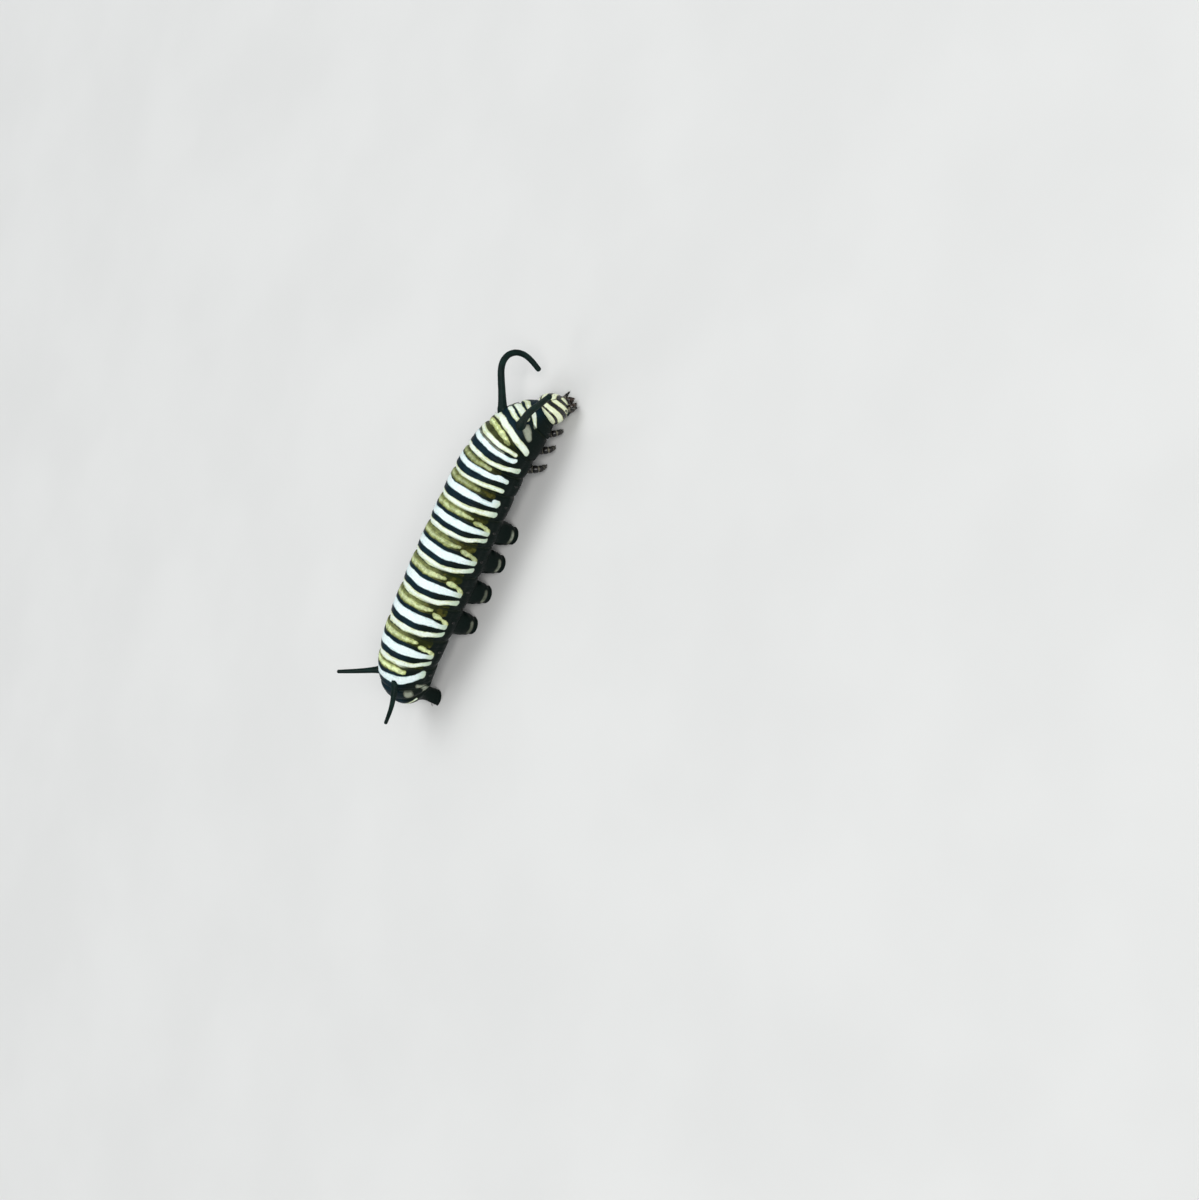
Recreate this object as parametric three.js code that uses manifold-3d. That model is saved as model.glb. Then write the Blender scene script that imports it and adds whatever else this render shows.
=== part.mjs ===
import * as THREE from 'three';
import { mergeVertices } from 'three/addons/utils/BufferGeometryUtils.js';
import Module from 'manifold-3d';

const wasm = await Module();
wasm.setup();

// A monarch larva of the last stage at life size, in millimetres.
// The head points to -Y, up is +Z, and the animal's right side is at -X.

// Segments from the head back. long: length along the body's axis. half: half width at the
// segment's front edge. dip: how far the axis falls towards the head there. turn: how far it
// is turned to the animal's right there. Angles are in degrees.
const segments = [
  { name: 'thorax_1', long: 1.25, half: 1.85, dip: 27, turn: 22 },
  { name: 'thorax_2', long: 3.2, half: 2.6, dip: 24, turn: 18 },
  { name: 'thorax_3', long: 2.8, half: 3.4, dip: 15, turn: 10 },
  { name: 'abdomen_1', long: 2.45, half: 3.65, dip: 6, turn: 4 },
  { name: 'abdomen_2', long: 3.0, half: 3.77, dip: 2.2, turn: 1.2 },
  { name: 'abdomen_3', long: 3.3, half: 3.8, dip: 0.7, turn: 0.3 },
  { name: 'abdomen_4', long: 3.65, half: 3.85, dip: 0, turn: 0 },
  { name: 'abdomen_5', long: 3.85, half: 3.87, dip: 0, turn: 0 },
  { name: 'abdomen_6', long: 3.85, half: 3.8, dip: 0, turn: 0 },
  { name: 'abdomen_7', long: 3.5, half: 3.68, dip: -1.5, turn: 0 },
  { name: 'abdomen_8', long: 2.8, half: 3.45, dip: -9.5, turn: 0 },
  { name: 'abdomen_9', long: 1.1, half: 3.05, dip: -30, turn: 0 },
  { name: 'abdomen_10', long: 1.9, half: 2.65, dip: -46, turn: 0 },
];
const tailEnd = { half: 1.9, dip: -62, turn: 0 };
const axisHeight = 5.2;
const levelSegment = 'abdomen_5';

// Gap between neighbours, section of the body, and how far a segment is drawn in at its edges.
const gap = 0.3;
const backRoundness = 0.98;
const bellyRoundness = 0.93;
const foldDepth = 0.07;
const foldSharpness = 4;
const tailRoundness = 2.4;

// Facets of the body: sides of a ring, and the rings' places as shares of a segment's length.
const bodySides = 28;
const segmentRows = [0, 0.06, 0.18, 0.34, 0.5, 0.66, 0.82, 0.94, 1];
const tailRows = [0, 0.12, 0.3, 0.5, 0.68, 0.82, 0.92, 0.98];

// Head, in its own directions: side, up or down, and forward from the neck. The face lifts
// by an angle from the slope of the neck.
const head = { halfWidth: 1.75, halfHeight: 1.72, depth: 2.3, sides: 28, lift: 36, drop: 0.08 };
const headShape = { widest: 0.33, behind: 0.62, ahead: 0.67, cheek: 0.06 };
const headRows = [0, 0.1, 0.25, 0.42, 0.58, 0.72, 0.84, 0.93, 0.985];
const crown = { notch: 0.09, notchWidth: 14 };
const labrum = { down: 1.12, forward: 2.0, halfWidth: 0.52, halfHeight: 0.3, halfDepth: 0.3 };
const mandible = {
  side: 0.52, down: 1.62, forward: 1.85, halfWidth: 0.37, halfHeight: 0.52, halfDepth: 0.4,
};
const labium = { down: 1.75, forward: 1.15, halfWidth: 0.42, halfHeight: 0.42, halfDepth: 0.42 };
const blockFacets = { round: 12, rows: 8 };
const antenna = {
  round: 142, share: 0.78, along: [-0.4, 0.3, 0.7, 1.15], rootRadius: 0.27, tipRadius: 0.13, sides: 10,
};
const eyelets = {
  count: 6, radius: 0.15, firstRound: 96, lastRound: 128, share: 0.66, bow: 0.14, round: 6, rows: 4,
};

// Fleshy black feelers. at: place along the segment, round: angle from the top of the back,
// from and to: their direction at root and tip, turning over the stretch between bendStart
// and bendEnd, which are fractions of the length. parts: lengths they are divided into.
const tentacles = [
  {
    name: 'tentacle_front_left', on: 'thorax_2', at: 0.5, round: -38, length: 10.4,
    from: [0.51, -0.84, 0.16], to: [-0.52, 0.46, -0.71], bendStart: 0.32, bendEnd: 0.92,
    rootRadius: 0.42, midRadius: 0.36, tipRadius: 0.29, parts: [0.42, 0.68],
  },
  {
    name: 'tentacle_front_right', on: 'thorax_2', at: 0.3, round: 33, length: 10.4,
    from: [-0.64, -0.59, 0.49], to: [-0.76, -0.54, 0.36], bendStart: 0, bendEnd: 0.6,
    rootRadius: 0.42, midRadius: 0.36, tipRadius: 0.29, parts: [0.5],
  },
  {
    name: 'tentacle_rear_left', on: 'abdomen_8', at: 0.83, round: -36, length: 4.6,
    from: [0.40, 0.43, 0.81], to: [0.51, 0.42, 0.75], bendStart: 0, bendEnd: 1,
    rootRadius: 0.32, midRadius: 0.26, tipRadius: 0.2, parts: [],
  },
  {
    name: 'tentacle_rear_right', on: 'abdomen_8', at: 0.83, round: 36, length: 4.6,
    from: [-0.41, 0.91, -0.07], to: [0.13, 0.98, -0.16], bendStart: 0, bendEnd: 0.85,
    rootRadius: 0.32, midRadius: 0.26, tipRadius: 0.2, parts: [],
  },
];
const tentacle = {
  sides: 10, rowLength: 0.7, rootDepth: 0.9, flare: 0.35, flareLength: 0.7, step: 0.05,
  tipRows: [0.6, 0.28, 0.06],
};

// Jointed legs of the thorax: place along the segment and round it, then knee and claw
// measured from the leg's root: outwards, forwards and up. The claw stands on the ground.
const legs = [
  { on: 'thorax_1', round: 146, knee: [0.45, 0.4, -0.45], claw: [0, 0.75], radius: 0.48 },
  { on: 'thorax_2', round: 148, knee: [0.6, 0.4, -0.55], claw: [0.1, 0.85], radius: 0.56 },
  { on: 'thorax_3', round: 148, knee: [0.7, 0.45, -0.7], claw: [0.2, 0.95], radius: 0.6 },
];
const leg = {
  at: 0.5, sides: 10, rows: 13, rootDepth: 0.8, shinShare: 0.6, ankleShare: 0.8,
  ankleRadius: 0.28, clawRadius: 0.15, joints: 8, jointDepth: 0.14, jointSharpness: 8,
};

// Fleshy prolegs: stout cones from inside the belly to flat soles on the ground. Each ring of
// a cone is given by its distance to the side, height and radius, from the top down.
const prolegSegments = ['abdomen_3', 'abdomen_4', 'abdomen_5', 'abdomen_6'];
const prolegPlace = 0.52;
const prolegRings = [
  { side: 1.6, height: 3.9, radius: 1.35 },
  { side: 1.75, height: 2.4, radius: 1.4 },
  { side: 1.86, height: 1.4, radius: 1.18 },
  { side: 1.9, height: 0.84, radius: 0.98 },
  { side: 1.92, height: 0.34, radius: 0.82 },
  { side: 1.92, height: 0.12, radius: 0.9 },
  { side: 1.92, height: 0, radius: 0.8 },
];
const prolegStretch = 1.12;

// The last pair of prolegs, which clasp with the sole under the tail. behind: how far a ring
// lies behind the place on the axis.
const clasperPlace = 0.4;
const clasperRings = [
  { side: 1.0, behind: -0.3, height: 2.5, radius: 0.9 },
  { side: 1.25, behind: -0.1, height: 1.7, radius: 1.02 },
  { side: 1.45, behind: 0.2, height: 0.8, radius: 0.86 },
  { side: 1.45, behind: 0.2, height: 0.4, radius: 0.8 },
  { side: 1.45, behind: 0.2, height: 0.12, radius: 0.86 },
  { side: 1.45, behind: 0.2, height: 0, radius: 0.76 },
];
const clasperStretch = 1.3;
const soleSides = 14;

const skinColour = '#dfe6c8';
const blackColour = '#0d1512';
const headColour = '#e9ecc9';
const skinFinish = { roughness: 0.55, metalness: 0 };
const hornFinish = { roughness: 0.4, metalness: 0 };

// Stations: distances along the body's axis where one segment ends and the next begins.
const radians = THREE.MathUtils.degToRad;
const stations = [0];
segments.forEach((part) => stations.push(stations.at(-1) + part.long));
const bodyLength = stations.at(-1);

// A smooth curve through one value at each station that never overshoots: cubic pieces whose
// slope at a station is the harmonic mean of the slopes on its two sides.
function smoothThrough(values) {
  const secants = segments.map((part, i) => (values[i + 1] - values[i]) / part.long);
  const slopes = values.map((value, i) => {
    const before = secants[Math.max(i - 1, 0)];
    const after = secants[Math.min(i, secants.length - 1)];
    return before * after > 0 ? 2 * before * after / (before + after) : 0;
  });
  return (s) => {
    const inside = THREE.MathUtils.clamp(s, 0, bodyLength);
    const i = Math.max(0, stations.slice(0, -1).findLastIndex((station) => inside > station));
    const step = segments[i].long;
    const t = (inside - stations[i]) / step;
    const rise = t * t * (3 - 2 * t);
    const slopeIn = t * (1 - t) * (1 - t) * step;
    const slopeOut = t * t * (1 - t) * step;
    return values[i] * (1 - rise) + values[i + 1] * rise + slopes[i] * slopeIn - slopes[i + 1] * slopeOut;
  };
}

const halfWidthAt = smoothThrough([...segments.map((part) => part.half), tailEnd.half]);
const dipAt = smoothThrough([...segments.map((part) => part.dip), tailEnd.dip]);
const turnAt = smoothThrough([...segments.map((part) => part.turn), tailEnd.turn]);

// Directions of the body's axis towards the tail, of the animal's right and of its back.
function axesAt(s) {
  const dip = radians(dipAt(s));
  const turn = radians(turnAt(s));
  const tailwards = new THREE.Vector3(
    Math.sin(turn) * Math.cos(dip), Math.cos(turn) * Math.cos(dip), Math.sin(dip));
  const right = new THREE.Vector3(-Math.cos(turn), Math.sin(turn), 0);
  const back = new THREE.Vector3().crossVectors(tailwards, right);
  return { tailwards, right, back };
}

// The axis is the running sum of its direction, set so that the level segment starts above
// the origin at the axis height.
const axisStep = 0.02;
const axisPoints = [new THREE.Vector3()];
for (let s = axisStep / 2; s < bodyLength; s += axisStep) {
  axisPoints.push(axisPoints.at(-1).clone().addScaledVector(axesAt(s).tailwards, axisStep));
}
function rawAxisPoint(s) {
  const place = THREE.MathUtils.clamp(s / axisStep, 0, axisPoints.length - 1);
  const index = Math.min(Math.floor(place), axisPoints.length - 2);
  return axisPoints[index].clone().lerp(axisPoints[index + 1], place - index);
}
const levelIndex = segments.findIndex((part) => part.name === levelSegment);
const levelPoint = rawAxisPoint(stations[levelIndex]);
const axisShift = new THREE.Vector3(0, 0, axisHeight).sub(levelPoint);
const axisPoint = (s) => rawAxisPoint(s).add(axisShift);

// Point of the skin: a round section with a flatter belly, drawn in at each segment's edges.
// round is the angle from the top of the back, positive to the animal's right.
function skinPoint(s, swell, round, extra = 0) {
  const { right, back } = axesAt(s);
  const half = halfWidthAt(s) * swell + extra;
  const side = Math.sin(round) * half;
  const up = Math.cos(round) * half;
  const flat = up > 0 ? backRoundness : bellyRoundness;
  return axisPoint(s).addScaledVector(right, side).addScaledVector(back, up * flat);
}

// Share of the half width along a segment, and along the last one, which closes in a dome.
const swellAt = (share) => 1 - foldDepth * Math.abs(2 * share - 1) ** foldSharpness;
const tailSwellAt = (share) => (1 - share ** tailRoundness) ** (1 / tailRoundness);

// One ring of the skin, from the top of the back round by the animal's right.
function skinRing(s, swell, extra) {
  const ring = [];
  for (let i = 0; i < bodySides; i += 1) {
    ring.push(skinPoint(s, swell, i / bodySides * 2 * Math.PI, extra));
  }
  return ring;
}

// Rings of one segment, from its front edge to its rear edge, without the gaps.
function segmentRings(index, extra = 0) {
  const isTail = index === segments.length - 1;
  const start = stations[index] + (index === 0 ? 0 : gap / 2);
  const end = stations[index + 1] - (isTail ? 0 : gap / 2);
  const rows = isTail ? tailRows : segmentRows;
  return rows.map((share) => {
    const swell = isTail ? tailSwellAt(share) : swellAt(share);
    return skinRing(start + (end - start) * share, swell, extra);
  });
}

// Closed skin over rings with equal counts, each end closed by a fan to the ring's middle,
// turned so that its faces point out.
function loft(rings) {
  const sides = rings[0].length;
  const points = rings.flat();
  const middle = (ring) => ring.reduce((sum, p) => sum.add(p), new THREE.Vector3()).divideScalar(sides);
  points.push(middle(rings[0]), middle(rings.at(-1)));
  const startMiddle = points.length - 2;
  const endMiddle = points.length - 1;
  const endRing = (rings.length - 1) * sides;
  const triangles = [];
  for (let i = 0; i < sides; i += 1) {
    const next = (i + 1) % sides;
    for (let row = 0; row < rings.length - 1; row += 1) {
      const a = row * sides;
      const b = a + sides;
      triangles.push(a + i, a + next, b + next, a + i, b + next, b + i);
    }
    triangles.push(startMiddle, next, i, endMiddle, endRing + i, endRing + next);
  }
  let volume = 0;
  for (let k = 0; k < triangles.length; k += 3) {
    const [p, q, r] = triangles.slice(k, k + 3).map((corner) => points[corner]);
    volume += p.dot(new THREE.Vector3().crossVectors(q, r));
  }
  if (volume < 0) {
    triangles.reverse();
  }
  const geometry = new THREE.BufferGeometry();
  const positions = points.flatMap((p) => p.toArray());
  geometry.setAttribute('position', new THREE.Float32BufferAttribute(positions, 3));
  geometry.setIndex(triangles);
  return geometry;
}

// Solid inside a closed geometry, for joining and cutting.
function toSolid(geometry) {
  const bare = geometry.clone();
  bare.deleteAttribute('normal');
  bare.deleteAttribute('uv');
  const merged = mergeVertices(bare);
  return new wasm.Manifold(new wasm.Mesh({
    numProp: 3,
    vertProperties: new Float32Array(merged.attributes.position.array),
    triVerts: new Uint32Array(merged.index.array),
  }));
}

// Geometry of the largest closed surface of a solid.
function fromSolid(solid) {
  const larger = (best, piece) => (piece.volume() > best.volume() ? piece : best);
  const largest = solid.decompose().reduce(larger);
  const mesh = largest.getMesh();
  const geometry = new THREE.BufferGeometry();
  geometry.setAttribute('position', new THREE.BufferAttribute(new Float32Array(mesh.vertProperties), 3));
  geometry.setIndex(new THREE.BufferAttribute(new Uint32Array(mesh.triVerts), 1));
  return geometry;
}

// Round tube through rings of a given radius along a path of points.
function tube(points, radiusAt, sides) {
  const curve = new THREE.CatmullRomCurve3(points, false, 'centripetal');
  const rows = points.length - 1;
  const frames = curve.computeFrenetFrames(rows, false);
  const rings = points.map((unused, row) => {
    const share = row / rows;
    const centre = curve.getPointAt(share);
    const radius = radiusAt(share);
    return Array.from({ length: sides }, (item, i) => {
      const round = i / sides * 2 * Math.PI;
      return centre.clone()
        .addScaledVector(frames.normals[row], Math.cos(round) * radius)
        .addScaledVector(frames.binormals[row], Math.sin(round) * radius);
    });
  });
  return loft(rings);
}

// Named parts of the larva, each with its own copy of its material.
const group = new THREE.Group();
const skinMaterial = new THREE.MeshStandardMaterial({ color: skinColour, ...skinFinish });
const blackMaterial = new THREE.MeshStandardMaterial({ color: blackColour, ...hornFinish });
const headMaterial = new THREE.MeshStandardMaterial({ color: headColour, ...hornFinish });

function addPart(name, geometry, material) {
  geometry.computeVertexNormals();
  const mesh = new THREE.Mesh(geometry, material.clone());
  mesh.name = name;
  group.add(mesh);
}

// Body: one solid for each segment, and the whole skin grown by the gap, which cuts the
// roots of all that grows on it.
segments.forEach((part, index) => addPart(part.name, loft(segmentRings(index)), skinMaterial));
const grownSkin = toSolid(loft(segments.flatMap((part, index) => segmentRings(index, gap))));

// Head: rings along its own forward axis, which lifts evenly from the neck to the face. It is
// widest at a third of its depth, with a notch at the crown between two lobes.
const neck = axesAt(0);
const headOrigin = axisPoint(0).addScaledVector(neck.tailwards, -gap);
function headPoint(side, up, forward) {
  const lift = radians(head.lift) * forward / head.depth;
  const upwards = neck.back.clone().applyAxisAngle(neck.right, lift);
  const forwards = neck.tailwards.clone().negate().applyAxisAngle(neck.right, lift / 2);
  return headOrigin.clone()
    .addScaledVector(neck.right, side)
    .addScaledVector(upwards, up)
    .addScaledVector(forwards, forward);
}

// Point of the head's surface: share of the depth from the neck, and angle from the crown.
function headSurface(share, round, extra = 0) {
  const slope = share < headShape.widest ? headShape.behind : headShape.ahead;
  const bulge = Math.sqrt(Math.max(0, 1 - ((share - headShape.widest) / slope) ** 2));
  const fromTop = Math.atan2(Math.sin(round), Math.cos(round)) / radians(crown.notchWidth);
  const notch = 1 - crown.notch * Math.exp(-fromTop * fromTop);
  const reach = bulge * notch * (1 + headShape.cheek * Math.sin(round) ** 2 * Math.cos(round));
  const side = Math.sin(round) * (head.halfWidth * reach + extra);
  const up = Math.cos(round) * (head.halfHeight * reach + extra) - head.drop * share;
  return headPoint(side, up, share * (head.depth + extra) - (share === 0 ? extra : 0));
}

// Closed skin of the head, grown outwards by an extra distance.
function headGeometry(extra = 0) {
  return loft(headRows.map((share) => Array.from(
    { length: head.sides }, (item, i) => headSurface(share, i / head.sides * 2 * Math.PI, extra))));
}

// Rounded block on the head: an ellipsoid of few faces, given by its middle and half sizes.
function headBlock(block, side = 0, extra = 0) {
  const geometry = new THREE.SphereGeometry(1, blockFacets.round, blockFacets.rows);
  const points = geometry.attributes.position;
  for (let i = 0; i < points.count; i += 1) {
    const point = headPoint(
      side - points.getX(i) * (block.halfWidth + extra),
      points.getY(i) * (block.halfHeight + extra) - block.down,
      block.forward + points.getZ(i) * (block.halfDepth + extra));
    points.setXYZ(i, point.x, point.y, point.z);
  }
  return toSolid(geometry);
}

// Eyelet: one of the small domes in a bowed row on a cheek, numbered from the top.
function eyeletSolid(number, side) {
  const part = number / (eyelets.count - 1);
  const round = radians(THREE.MathUtils.lerp(eyelets.firstRound, eyelets.lastRound, part));
  const share = eyelets.share + eyelets.bow * Math.sin(part * Math.PI);
  const dome = new THREE.SphereGeometry(eyelets.radius, eyelets.round, eyelets.rows);
  dome.translate(...headSurface(share, side * round).toArray());
  return toSolid(dome);
}

const sideNames = [['left', -1], ['right', 1]];
const eyeletSolids = sideNames.flatMap(
  ([sideName, side]) => Array.from({ length: eyelets.count }, (item, i) => eyeletSolid(i, side)));
const bareSkull = toSolid(headGeometry()).add(headBlock(labrum));
const skull = eyeletSolids.reduce((whole, eyelet) => whole.add(eyelet), bareSkull);
addPart('head', fromSolid(skull), headMaterial);

// Mouthparts and antennae, cut back to leave the gap round the face and round each other.
const grownFace = toSolid(headGeometry(gap)).add(headBlock(labrum, 0, gap));
addPart('labium', fromSolid(headBlock(labium).subtract(grownFace)), blackMaterial);
const grownMouth = grownFace.add(headBlock(labium, 0, gap));
sideNames.forEach(([sideName, side]) => {
  const jaw = headBlock(mandible, side * mandible.side);
  addPart(`mandible_${sideName}`, fromSolid(jaw.subtract(grownMouth)), blackMaterial);

  const round = side * radians(antenna.round);
  const root = headSurface(antenna.share, round);
  const outwards = headSurface(antenna.share, round, 1).sub(root).normalize();
  const points = antenna.along.map((along) => root.clone().addScaledVector(outwards, along));
  const radiusAt = (share) => THREE.MathUtils.lerp(antenna.rootRadius, antenna.tipRadius, share);
  const feeler = toSolid(tube(points, radiusAt, antenna.sides));
  addPart(`antenna_${sideName}`, fromSolid(feeler.subtract(grownFace)), blackMaterial);
});

// Line of a feeler: it starts on the skin, and its direction turns in one plane from the first
// to the last over its bend. Gives the point and direction at any distance along.
function feelerLine(feeler) {
  const index = segments.findIndex((part) => part.name === feeler.on);
  const station = stations[index] + feeler.at * segments[index].long;
  const from = new THREE.Vector3(...feeler.from).normalize();
  const to = new THREE.Vector3(...feeler.to).normalize();
  const bend = from.angleTo(to);
  const directionAt = (along) => {
    const bent = THREE.MathUtils.smoothstep(along / feeler.length, feeler.bendStart, feeler.bendEnd);
    const turned = bent * bend;
    return from.clone().multiplyScalar(Math.sin(bend - turned))
      .addScaledVector(to, Math.sin(turned)).divideScalar(Math.sin(bend));
  };
  const points = [skinPoint(station, 1, radians(feeler.round))];
  for (let along = tentacle.step / 2; along < feeler.length; along += tentacle.step) {
    points.push(points.at(-1).clone().addScaledVector(directionAt(along), tentacle.step));
  }
  return {
    across: new THREE.Vector3().crossVectors(from, to).normalize(),
    directionAt,
    pointAt: (along) => {
      const place = THREE.MathUtils.clamp(along / tentacle.step, 0, points.length - 1);
      const i = Math.min(Math.floor(place), points.length - 2);
      const inner = Math.min(along, 0);
      return points[i].clone().lerp(points[i + 1], place - i).addScaledVector(from, inner);
    },
  };
}

// Radius along a feeler: a short flare at the root, an even taper and a rounded tip.
function feelerRadius(feeler, along) {
  const share = THREE.MathUtils.clamp(along / feeler.length, 0, 1);
  const even = share < 0.5
    ? THREE.MathUtils.lerp(feeler.rootRadius, feeler.midRadius, share * 2)
    : THREE.MathUtils.lerp(feeler.midRadius, feeler.tipRadius, share * 2 - 1);
  const flare = 1 + tentacle.flare * Math.exp(-Math.max(along, 0) / tentacle.flareLength);
  const toTip = Math.min(1, (feeler.length - along) / feeler.tipRadius);
  return even * flare * Math.sqrt(1 - (1 - toTip) ** 2);
}

// Each feeler is divided into its parts with a gap between them, and its root is cut back to
// leave the gap over the skin.
tentacles.forEach((feeler) => {
  const line = feelerLine(feeler);
  const ringAt = (along) => {
    const centre = line.pointAt(along);
    const direction = line.directionAt(along);
    const inwards = new THREE.Vector3().crossVectors(direction, line.across);
    const radius = feelerRadius(feeler, along);
    return Array.from({ length: tentacle.sides }, (item, i) => {
      const round = i / tentacle.sides * 2 * Math.PI;
      return centre.clone()
        .addScaledVector(inwards, Math.cos(round) * radius)
        .addScaledVector(line.across, Math.sin(round) * radius);
    });
  };
  const edges = [-tentacle.rootDepth, ...feeler.parts.map((share) => share * feeler.length)];
  edges.forEach((edge, part) => {
    const isLast = part === edges.length - 1;
    const start = part === 0 ? edge : edge + gap;
    const end = isLast ? feeler.length - feeler.tipRadius : edges[part + 1];
    const rows = Math.round((end - start) / tentacle.rowLength);
    const places = Array.from({ length: rows + 1 }, (item, row) => start + (end - start) * row / rows);
    const tip = tentacle.tipRows.map((share) => feeler.length - feeler.tipRadius * share);
    const piece = loft([...places, ...(isLast ? tip : [])].map(ringAt));
    const geometry = part === 0 ? fromSolid(toSolid(piece).subtract(grownSkin)) : piece;
    addPart(edges.length > 1 ? `${feeler.name}_${part + 1}` : feeler.name, geometry, blackMaterial);
  });
});

// Point given from a place on the skin, outwards to a side, forwards and up.
function beside(point, side, out, forward, up) {
  return point.clone().add(new THREE.Vector3(-side * out, -forward, up));
}

// Jointed legs, cut off level with the ground.
const vertical = [0, 0, 1];
legs.forEach((limb) => {
  const index = segments.findIndex((part) => part.name === limb.on);
  const station = stations[index] + leg.at * segments[index].long;
  const label = limb.on.replace('thorax_', 't');
  sideNames.forEach(([sideName, side]) => {
    const root = skinPoint(station, 1, radians(side * limb.round));
    const inner = axisPoint(station).sub(root).normalize().multiplyScalar(leg.rootDepth).add(root);
    const knee = beside(root, side, ...limb.knee);
    const claw = beside(root, side, ...limb.claw, 0).setZ(-leg.clawRadius / 2);
    const curve = new THREE.CatmullRomCurve3(
      [inner, root, knee, knee.clone().lerp(claw, leg.shinShare), claw], false, 'centripetal');
    const radiusAt = (share) => {
      const taper = Math.min(1, share / leg.ankleShare);
      const even = THREE.MathUtils.lerp(limb.radius, leg.ankleRadius, taper);
      const narrow = Math.cos(share * leg.joints * Math.PI) ** leg.jointSharpness;
      const foot = THREE.MathUtils.clamp((share - leg.ankleShare) / (1 - leg.ankleShare), 0, 1);
      return THREE.MathUtils.lerp(even * (1 - leg.jointDepth * narrow), leg.clawRadius, foot);
    };
    const shape = toSolid(tube(curve.getSpacedPoints(leg.rows), radiusAt, leg.sides));
    const cut = shape.subtract(grownSkin).trimByPlane(vertical, 0);
    addPart(`leg_${label}_${sideName}`, fromSolid(cut), blackMaterial);
  });
});

// Cone of level rings beside a place on the axis, longer along the body than across it.
function fleshyLeg(place, side, rings, stretch) {
  return loft(rings.map((ring) => Array.from({ length: soleSides }, (item, i) => {
    const round = (i + 0.5) / soleSides * 2 * Math.PI;
    return new THREE.Vector3(
      place.x - side * ring.side + Math.cos(round) * ring.radius,
      place.y + (ring.behind ?? 0) + Math.sin(round) * ring.radius * stretch,
      ring.height);
  })));
}

// Both prolegs of one segment, cut back to leave the gap under the skin.
function addFleshyLegs(segmentName, share, rings, stretch) {
  const index = segments.findIndex((part) => part.name === segmentName);
  const place = axisPoint(stations[index] + share * segments[index].long);
  const label = segmentName.replace('abdomen_', 'a');
  sideNames.forEach(([sideName, side]) => {
    const shape = toSolid(fleshyLeg(place, side, rings, stretch));
    addPart(`proleg_${label}_${sideName}`, fromSolid(shape.subtract(grownSkin)), blackMaterial);
  });
}
prolegSegments.forEach((name) => addFleshyLegs(name, prolegPlace, prolegRings, prolegStretch));
addFleshyLegs('abdomen_10', clasperPlace, clasperRings, clasperStretch);

// The origin is moved under the middle of the whole larva, on the ground.
const extent = new THREE.Box3().setFromObject(group);
const middle = extent.getCenter(new THREE.Vector3());
group.position.set(-middle.x, -middle.y, -extent.min.z);
group.updateMatrixWorld(true);

export default group;
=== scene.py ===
import bpy
import numpy as np
from mathutils import Matrix, Vector


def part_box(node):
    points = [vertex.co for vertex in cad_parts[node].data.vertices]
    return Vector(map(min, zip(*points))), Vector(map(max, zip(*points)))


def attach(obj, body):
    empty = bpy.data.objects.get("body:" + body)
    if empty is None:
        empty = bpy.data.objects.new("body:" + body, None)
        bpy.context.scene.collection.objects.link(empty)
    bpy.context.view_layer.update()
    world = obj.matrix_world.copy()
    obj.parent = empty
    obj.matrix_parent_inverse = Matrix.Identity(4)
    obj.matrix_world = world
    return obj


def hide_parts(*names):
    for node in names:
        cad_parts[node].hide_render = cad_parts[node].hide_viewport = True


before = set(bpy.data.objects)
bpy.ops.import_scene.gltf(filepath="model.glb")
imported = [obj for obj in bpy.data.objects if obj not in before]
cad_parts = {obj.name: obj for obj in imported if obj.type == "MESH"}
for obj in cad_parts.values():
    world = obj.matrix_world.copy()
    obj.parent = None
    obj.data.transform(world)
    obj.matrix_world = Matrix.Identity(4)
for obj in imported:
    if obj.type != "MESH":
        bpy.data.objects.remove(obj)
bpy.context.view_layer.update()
mm = 0.001
sides = {"left": -1, "right": 1}
print("frame loaded")

# The larva's body plan, in millimetres and degrees, the same as the solids have: the length of
# each segment, then the half width, the dip towards the head and the turn to the right at each
# segment's front edge and at the tail's end.
bodyPlan = {
    "names": ["thorax_1", "thorax_2", "thorax_3", *[f"abdomen_{i}" for i in range(1, 11)]],
    "long": [1.25, 3.2, 2.8, 2.45, 3.0, 3.3, 3.65, 3.85, 3.85, 3.5, 2.8, 1.1, 1.9],
    "half": [1.85, 2.6, 3.4, 3.65, 3.77, 3.8, 3.85, 3.87, 3.8, 3.68, 3.45, 3.05, 2.65, 1.9],
    "dip": [27, 24, 15, 6, 2.2, 0.7, 0, 0, 0, -1.5, -9.5, -30, -46, -62],
    "turn": [22, 18, 10, 4, 1.2, 0.3, 0, 0, 0, 0, 0, 0, 0, 0],
    "axisHeight": 5.2, "axisStep": 0.02, "levelSegment": "abdomen_5",
    "backRoundness": 0.98, "bellyRoundness": 0.93, "tailRoundness": 2.4, "gap": 0.3,
}
segmentNames = bodyPlan["names"]
segmentLengths = np.array(bodyPlan["long"])
stations = np.concatenate([[0], np.cumsum(segmentLengths)])
bodyLength = stations[-1]


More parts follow.
